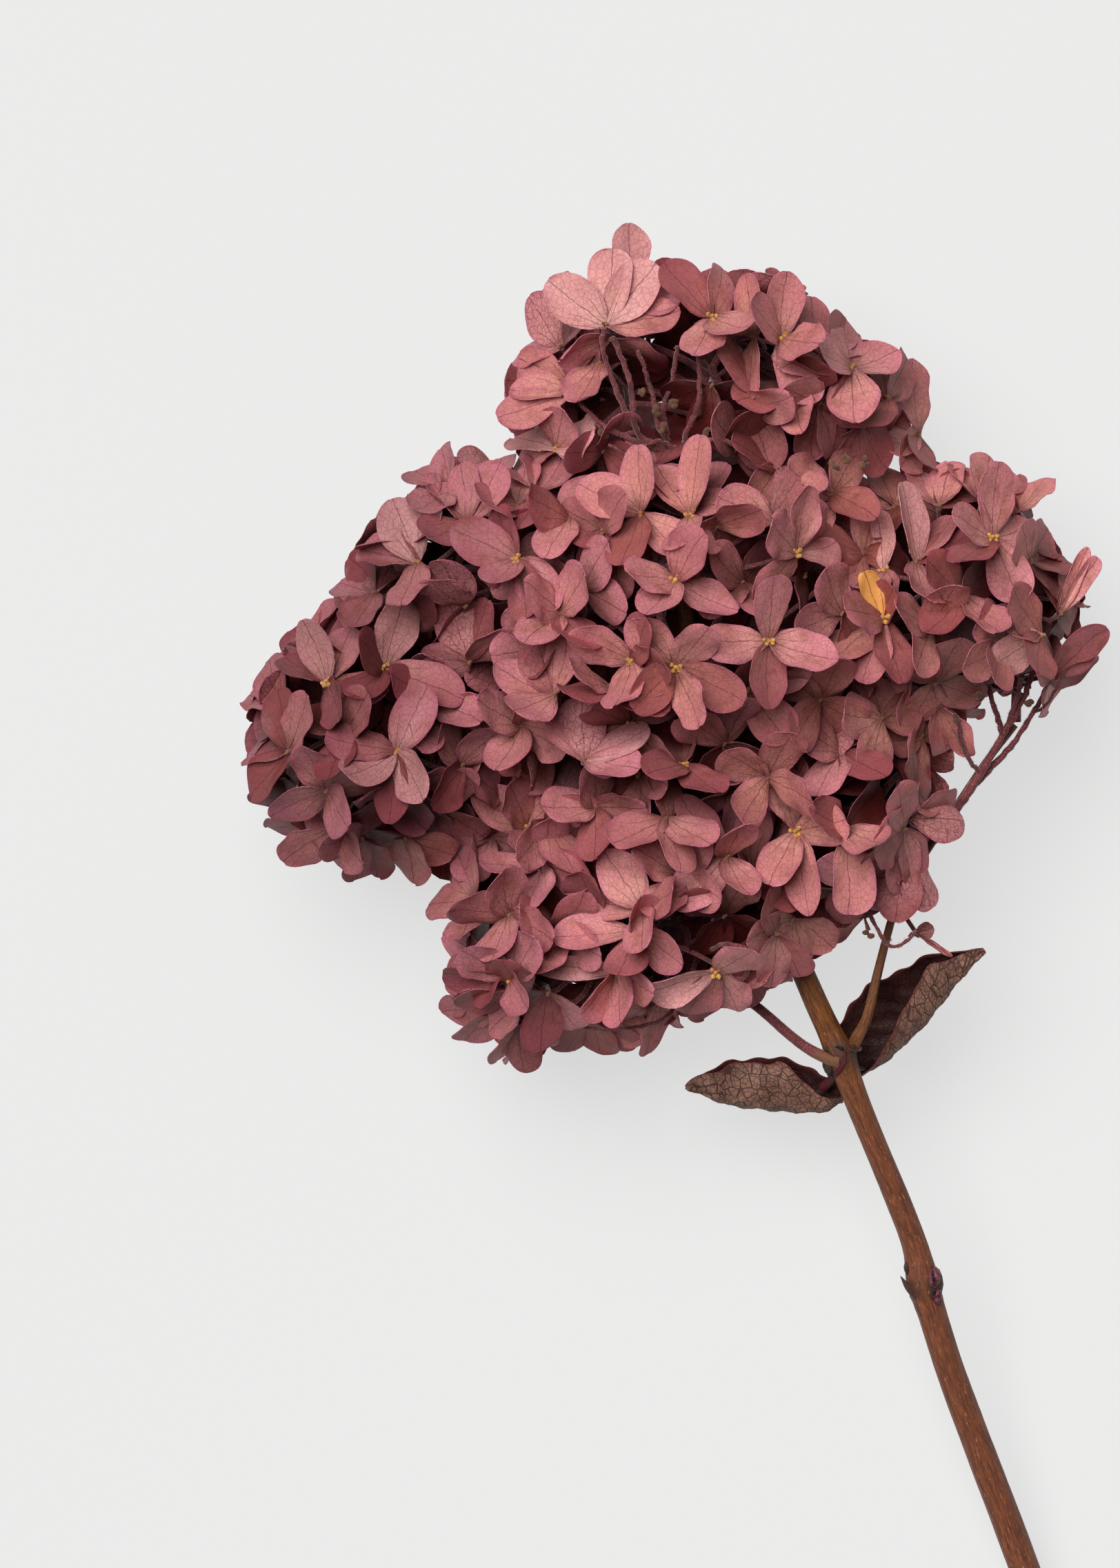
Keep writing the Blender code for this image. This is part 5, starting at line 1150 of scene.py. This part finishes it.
def make_leaves(finish):
    """The two dried leaves: thin, rolled and quilted between their veins."""
    rows, columns = LEAF_STATIONS, LEAF_STEPS_ACROSS
    u = np.linspace(0, 1, rows)[:, None]
    v = np.linspace(0, 1, columns)[None, :]
    long_way = u * LEAF_LENGTH
    wide_way = v * LEAF_WIDTH
    for number, (name, leaf) in enumerate(LEAVES.items()):
        draw = np.random.default_rng(60 + number)
        blade = Builder("dried_" + name)
        sheet, normal, swell = leaf_roll(leaf, u, v)
        quads = blade_quads(rows, columns)[:, ::-1]
        if np.sum(normal[:, columns // 2] @ unit(leaf["across"])) < 0:
            normal, quads = -normal, quads[:, ::-1]
        quilt = 0.35 * np.sin(long_way * 0.9 + 2 * np.sin(wide_way * 0.4)) * np.sin(wide_way * 0.8 + 1)
        quilt = quilt + 0.12 * np.sin(long_way * 2.1 + 1) * np.sin(wide_way * 1.9)
        edge = np.abs(2 * v - 1) ** 6
        quilt = quilt * (1 - edge) + edge * 0.5 * np.sin(long_way * 0.55 + 3 * v)
        sheet = sheet + normal * quilt[..., None]
        off_middle = 0.5 + (wide_way - LEAF_WIDTH / 2) * swell / UV_SPAN
        uv = np.stack([off_middle, long_way / UV_SPAN + 0 * v], axis=-1).reshape(-1, 2)
        rim = np.maximum(edge, (2 * u - 1) ** 16).reshape(-1)
        blade.add(
            two_sides(sheet, normal * (LEAF_THICKNESS / 2)),
            quads,
            uv=np.concatenate([uv, uv]),
            outer=np.repeat([0.0, 1.0], rows * columns),
            margin=np.concatenate([rim, rim]),
            age=draw.uniform(),
        )
        add_strand(blade, leaf["stalk"], 0.6, 12, gold=leaf["stalk_red"])
        blade.make(finish, "leaf", name)


class Nodes:
    """A short way to write a material's nodes."""

    def __init__(self, name):
        self.material = bpy.data.materials.new(name)
        self.material.use_nodes = True
        self.tree = self.material.node_tree
        self.shader = self.tree.nodes["Principled BSDF"]

    def feed(self, socket, value):
        if isinstance(value, bpy.types.NodeSocket):
            self.tree.links.new(value, socket)
        else:
            socket.default_value = value

    def node(self, kind, feeds=(), **settings):
        """A new node with its settings, and with values or links for its inputs by name or number."""
        made = self.tree.nodes.new(kind)
        for key, value in settings.items():
            setattr(made, key, value)
        for key, value in dict(feeds).items():
            self.feed(made.inputs[key], value)
        return made

    def math(self, operation, *values):
        return self.node("ShaderNodeMath", enumerate(values), operation=operation).outputs[0]

    def plus(self, first, second):
        return self.math("ADD", first, second)

    def minus(self, first, second):
        return self.math("SUBTRACT", first, second)

    def times(self, first, second):
        return self.math("MULTIPLY", first, second)

    def larger(self, first, second):
        return self.math("MAXIMUM", first, second)

    def less(self, value):
        """One less the value."""
        return self.minus(1.0, value)

    def mix(self, factor, first, second, share=1.0, blend="MIX"):
        """From the first colour towards the second, by a share of the factor."""
        if share != 1.0:
            factor = self.times(factor, share)
        made = self.node("ShaderNodeMix", {0: factor}, data_type="RGBA", blend_type=blend)
        for number, value in ((6, first), (7, second)):
            self.feed(made.inputs[number], linear(value) if isinstance(value, tuple) else value)
        return made.outputs[2]

    def dimmed(self, base, tone):
        return self.mix(1.0, base, tone, blend="MULTIPLY")

    def layers(self, base, *layers):
        """A base colour under others, each given by its factor, its colour and the share of the factor."""
        for factor, tone, share in layers:
            base = self.mix(factor, base, tone, share)
        return base

    def value(self, key):
        return self.node("ShaderNodeAttribute", attribute_name=key).outputs["Fac"]

    def growth(self):
        return self.node("ShaderNodeUVMap", uv_map="growth").outputs[0]

    def place(self, scale, coordinates=None):
        source = coordinates or self.node("ShaderNodeTexCoord").outputs["Object"]
        return self.node("ShaderNodeMapping", {"Vector": source, "Scale": scale}).outputs[0]

    def noise(self, vector, scale, detail=3.0, roughness=0.5):
        feeds = {"Vector": vector, "Scale": scale, "Detail": detail, "Roughness": roughness}
        return self.node("ShaderNodeTexNoise", feeds).outputs["Fac"]

    def ramp(self, factor, low, high):
        """How far a value is from low to high, between 0 and 1, with soft ends."""
        feeds = {"Value": factor, "From Min": low, "From Max": high}
        return self.node("ShaderNodeMapRange", feeds, interpolation_type="SMOOTHSTEP").outputs["Result"]

    def bump(self, height, strength, distance_mm):
        feeds = {"Height": height, "Strength": strength, "Distance": distance_mm * MM}
        return self.node("ShaderNodeBump", feeds).outputs[0]

    def finish(self, base, roughness, specular, normal=None, sheen=0.0):
        feeds = {"Base Color": base, "Roughness": roughness, "Specular IOR Level": specular}
        feeds |= {"Sheen Weight": sheen, "Sheen Roughness": SHEEN_ROUGHNESS}
        if normal:
            feeds["Normal"] = normal
        for key, value in feeds.items():
            self.feed(self.shader.inputs[key], value)
        return self.material


def linear(rgb):
    """A linear colour from one written in 0 to 255."""
    return (*(c / 255 / 12.92 if c < 10.3 else ((c / 255 + 0.055) / 1.055) ** 2.4 for c in rgb), 1)


def growth_mm(nodes):
    """The place on a sepal or leaf: across from its midrib, along it, and both with a shift of its own."""
    split = nodes.node("ShaderNodeSeparateXYZ", {0: nodes.growth()})
    across = nodes.times(nodes.minus(split.outputs[0], 0.5), UV_SPAN)
    along = nodes.times(split.outputs[1], UV_SPAN)
    shift = nodes.times(nodes.value("age"), TEXTURE_SHIFT)
    return across, along, nodes.node("ShaderNodeCombineXYZ", enumerate((across, along, shift))).outputs[0]


def waver(nodes, flat, scale, detail, size):
    """A shift in millimetres that wanders from place to place."""
    return nodes.times(nodes.minus(nodes.noise(flat, scale, detail), 0.5), size)


def veins(nodes, across, along, flat, spread, line):
    """How much of each place is main vein: lines that fan out from the foot, wavering a little."""
    x = nodes.plus(nodes.plus(across, waver(nodes, flat, 0.3, 2, 1.1)), waver(nodes, flat, 1.6, 1, 0.4))
    y = nodes.plus(along, 2.2)
    reach = nodes.math("SQRT", nodes.plus(nodes.times(x, x), nodes.times(y, y)))
    angle = nodes.times(nodes.math("ARCTAN2", x, y), nodes.minus(1.3, nodes.times(reach, 0.016)))
    lanes = nodes.math("DIVIDE", angle, spread)
    off = nodes.math("ABSOLUTE", nodes.minus(lanes, nodes.math("ROUND", lanes)))
    gap = nodes.times(nodes.times(off, spread), reach)
    laterals = nodes.less(nodes.ramp(gap, line * 0.35, line * 1.3))
    laterals = nodes.times(laterals, nodes.less(nodes.ramp(reach, 6.5, 15.5)))
    middle = nodes.less(nodes.ramp(nodes.math("ABSOLUTE", x), line * 0.5, line * 1.5))
    return nodes.larger(laterals, middle)


def vein_net(nodes, flat, scale, line):
    """How much of each place is on a net of small veins."""
    feeds = {"Vector": nodes.place((1.2, 0.85, 1), flat), "Scale": scale}
    cells = nodes.node("ShaderNodeTexVoronoi", feeds, feature="DISTANCE_TO_EDGE")
    return nodes.less(nodes.ramp(cells.outputs["Distance"], line * 0.3, line))


def sepal_material():
    """Papery pink, from salmon to mauve, with dark veins, darker with painted shade at the foot and well inside
    the head, and lighter with painted light on sepals marked pale.
    """
    nodes = Nodes("dried sepals")
    across, along, flat = growth_mm(nodes)
    tone, outer, gold = nodes.value("tint"), nodes.value("outer"), nodes.value("gold")
    salmon = nodes.mix(tone, (230, 162, 145), (226, 155, 155))
    rose = nodes.mix(tone, (222, 144, 138), (218, 138, 150))
    base = nodes.layers(
        nodes.mix(nodes.ramp(along, 1.0, 13.0), salmon, rose),
        (nodes.ramp(nodes.noise(flat, 0.16, 4, 0.6), 0.5, 0.72), (196, 126, 116), 1),
        (outer, (214, 152, 150), 0.4),
        (nodes.ramp(nodes.value("margin"), 0.72, 1.0), (210, 120, 144), 0.6),
        # Painted shade at each sepal's foot, near the floret's middle.
        (nodes.less(nodes.ramp(along, 0.4, 5.0)), (112, 56, 50), 0.6),
    )
    # Painted light: sepals marked pale stand for lit ones, drawn lighter and pinker and never maroon.
    pale = nodes.ramp(gold, -0.1, -0.9)
    maroon = nodes.times(nodes.ramp(nodes.value("age"), 0.5, 0.95), nodes.less(pale))
    main = veins(nodes, across, along, flat, 0.32, 0.1)
    coarse = vein_net(nodes, flat, 0.66, 0.08)
    net = nodes.larger(coarse, nodes.times(vein_net(nodes, flat, 1.5, 0.12), 0.6))
    showing = nodes.math("MULTIPLY_ADD", outer, 0.3, 0.38)
    golden = nodes.mix(main, (232, 166, 92), (160, 86, 50))
    base = nodes.layers(
        base,
        (maroon, nodes.dimmed(base, (186, 146, 146)), 0.85),
        # Painted light on the sepals marked pale.
        (pale, (244, 188, 184), 0.5),
        (nodes.times(net, showing), (134, 62, 72), 1),
        (main, (96, 42, 46), 0.72),
        (nodes.ramp(nodes.noise(flat, 2.2, 2, 0.4), 0.7, 0.78), (120, 62, 58), 0.4),
        (nodes.ramp(gold, 0.1, 0.9), golden, 1),
    )
    # Painted shade: darker and redder well inside the head, and painted shadow on the left side.
    base = nodes.mix(nodes.value("deep"), base, nodes.dimmed(base, (104, 42, 44)), 0.95)
    height = nodes.math("MULTIPLY_ADD", nodes.noise(flat, 1.1, 1), 0.9, nodes.times(coarse, -0.7))
    nodes.finish(base, 0.46, 0.22, nodes.bump(height, 0.3, 0.2))
    through = nodes.node("ShaderNodeBsdfTranslucent", {"Color": nodes.dimmed(base, (255, 190, 190))})
    shaders = enumerate((SEPAL_SEE_THROUGH, nodes.shader.outputs[0], through.outputs[0]))
    both = nodes.node("ShaderNodeMixShader", shaders)
    nodes.feed(nodes.tree.nodes["Material Output"].inputs["Surface"], both.outputs[0])
    return nodes.material


def stalk_material():
    """Plum stalks with pale down, and the ochre buds in the middle of the florets."""
    nodes = Nodes("plum stalks")
    place = nodes.place(PER_MM)
    tone, gold = nodes.value("tint"), nodes.value("gold")
    ochre = nodes.mix(tone, (206, 156, 66), (184, 124, 54))
    ochre = nodes.mix(nodes.ramp(nodes.noise(place, 1.3), 0.5, 0.7), ochre, (92, 62, 32))
    ochre = nodes.mix(nodes.ramp(gold, 0.4, 0.85), (92, 58, 40), ochre)
    tan = nodes.mix(nodes.noise(place, 2.0), (116, 78, 48), (92, 54, 38))
    base = nodes.layers(
        nodes.mix(tone, (80, 31, 37), (106, 45, 49)),
        (nodes.ramp(nodes.noise(place, 3.4, 2), 0.5, 0.66), (150, 84, 86), 1),
        (nodes.ramp(nodes.noise(place, 0.22, 2), 0.5, 0.75), (72, 30, 34), 1),
        (nodes.ramp(gold, 0.0, 0.3), ochre, 1),
        (nodes.ramp(nodes.value("margin"), 0.15, 0.7), tan, 1),
    )
    return nodes.finish(base, 0.7, 0.3, nodes.bump(nodes.noise(place, 3.0), 0.6, 0.2), sheen=0.4)


def bark_material():
    """Red-brown bark with orange streaks and pale flecks, golden near the head and greyish at the joints."""
    nodes = Nodes("dry bark")
    uv = nodes.growth()
    place = nodes.place(PER_MM)
    streaks = nodes.noise(nodes.place((7, 1.4, 1), uv), 3.0, 5, 0.6)
    fine = nodes.noise(nodes.place((24, 2.6, 1), uv), 3.0, 4, 0.6)
    dark = nodes.noise(nodes.place((16, 1.2, 1), uv), 3.0)
    flecks = nodes.noise(nodes.place((30, 9, 1), uv), 2.0, 1, 0.4)
    streaky = nodes.ramp(streaks, 0.35, 0.65)
    red_brown = nodes.mix(streaky, (84, 46, 32), (116, 64, 40))
    golden = nodes.mix(streaky, (78, 43, 20), (120, 70, 28))
    worn, gold = nodes.value("age"), nodes.value("gold")
    joint = nodes.times(nodes.ramp(worn, 0.25, 0.9), nodes.noise(place, 0.9, 4, 0.7))
    plum = nodes.mix(nodes.ramp(nodes.noise(place, 1.2), 0.4, 0.65), (70, 24, 36), (128, 66, 84))
    cut = nodes.mix(nodes.noise(place, 3.0, 2), (196, 172, 132), (170, 140, 100))
    base = nodes.layers(
        nodes.mix(nodes.value("tint"), red_brown, golden),
        (nodes.ramp(fine, 0.52, 0.7), (168, 96, 50), 0.7),
        (nodes.ramp(dark, 0.55, 0.72), (74, 40, 30), 0.6),
        (nodes.ramp(flecks, 0.68, 0.76), (196, 138, 92), 0.6),
        (joint, (54, 34, 27), 2.2),
        (nodes.ramp(gold, 0.2, 0.8), plum, 1),
        (nodes.ramp(nodes.value("outer"), 0.6, 0.9), cut, 1),
        (nodes.ramp(gold, -0.1, -0.5), (18, 8, 12), 1),
    )
    height = nodes.plus(streaks, nodes.times(fine, 0.8))
    height = nodes.math("MULTIPLY_ADD", nodes.noise(place, 2.2), worn, height)
    return nodes.finish(base, 0.5, 0.4, nodes.bump(height, 0.7, 0.3))


def leaf_material():
    """Dried leaf: nearly black inside, its own dark colour with painted shade, dull brown with a net of veins
    outside, crimson at the rim.
    """
    nodes = Nodes("dried leaf")
    across, along, flat = growth_mm(nodes)
    fine = nodes.times(vein_net(nodes, flat, 0.95, 0.07), 0.6)
    net = nodes.larger(vein_net(nodes, flat, 0.42, 0.05), fine)
    net = nodes.larger(net, veins(nodes, across, along, flat, 0.5, 0.13))
    outside = nodes.layers(
        nodes.mix(nodes.ramp(nodes.noise(flat, 0.14, 4), 0.35, 0.65), (114, 80, 66), (150, 110, 94)),
        (nodes.noise(flat, 1.3, 4, 0.7), (78, 52, 42), 0.4),
        (net, (50, 27, 24), 0.85),
    )
    # The inner face: its own dark colour with painted shade on top, so that it shows nearly black.
    inner_face_with_shade = nodes.mix(nodes.ramp(nodes.noise(flat, 0.2), 0.4, 0.7), (44, 16, 14), (58, 24, 20))
    stalk = nodes.mix(nodes.noise(nodes.place(PER_MM), 0.8), (112, 38, 48), (84, 30, 34))
    base = nodes.layers(
        nodes.mix(nodes.value("outer"), inner_face_with_shade, outside),
        (nodes.ramp(nodes.value("margin"), 0.55, 0.95), (104, 40, 42), 0.6),
        (nodes.value("gold"), stalk, 1),
    )
    height = nodes.math("MULTIPLY_ADD", nodes.noise(flat, 0.5), 0.8, nodes.times(net, -1.0))
    return nodes.finish(base, 0.62, 0.3, nodes.bump(height, 0.8, 0.35))


def floor_material():
    """A lit pale surface: most of its light is its own, so that shadows on it stay faint."""
    nodes = Nodes("pale surface")
    grain = nodes.noise(nodes.place((1, 1, 1)), 3.0, 2)
    nodes.feed(nodes.shader.inputs["Emission Color"], (1, 1, 1, 1))
    nodes.feed(nodes.shader.inputs["Emission Strength"], FLOOR_GLOW)
    return nodes.finish(nodes.mix(grain, (102, 102, 102), (104, 104, 104)), 0.9, 0.0)


def make_floor():
    mesh = bpy.data.meshes.new("surface")
    corners = [(FLOOR_REACH * x, FLOOR_REACH * y, 0) for x, y in ((-1, -1), (1, -1), (1, 1), (-1, 1))]
    mesh.from_pydata(corners, [], [(0, 1, 2, 3)])
    floor = bpy.data.objects.new("surface", mesh)
    mesh.materials.append(floor_material())
    bpy.context.scene.collection.objects.link(floor)


def make_camera():
    data = bpy.data.cameras.new("camera")
    data.sensor_fit = "VERTICAL"
    data.sensor_height = SENSOR
    data.lens = SENSOR * CAMERA_DISTANCE / PHOTO_HEIGHT
    data.clip_end = 50
    camera = bpy.data.objects.new("camera", data)
    bpy.context.scene.collection.objects.link(camera)
    camera.location = STEM_TURN @ np.array((*PHOTO_CENTRE, CAMERA_FOCUS_HEIGHT + CAMERA_DISTANCE)) * MM
    camera.rotation_euler = (0, 0, STEM_TURN_ANGLE)
    bpy.context.scene.camera = camera


def make_lights():
    world = bpy.data.worlds.new("studio")
    bpy.context.scene.world = world
    world.use_nodes = True
    background = world.node_tree.nodes["Background"]
    background.inputs["Color"].default_value = (1.0, 0.995, 0.985, 1)
    background.inputs["Strength"].default_value = SKY_STRENGTH
    data = bpy.data.lights.new("key", "SUN")
    data.energy = KEY_STRENGTH
    data.angle = math.radians(KEY_ANGLE)
    data.color = (1.0, 0.985, 0.965)
    key = bpy.data.objects.new("key", data)
    bpy.context.scene.collection.objects.link(key)
    key.rotation_euler = Vector(STEM_TURN @ KEY_DIRECTION).to_track_quat("-Z", "Y").to_euler()


def main():
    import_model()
    bpy.context.scene.view_settings.view_transform = "Standard"
    bark, plum = bark_material(), stalk_material()
    make_sprays(sepal_material(), plum)
    make_stem(bark)
    make_shoots(bark, plum)
    make_leaves(leaf_material())
    make_floor()
    make_camera()
    make_lights()
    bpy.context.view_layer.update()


main()
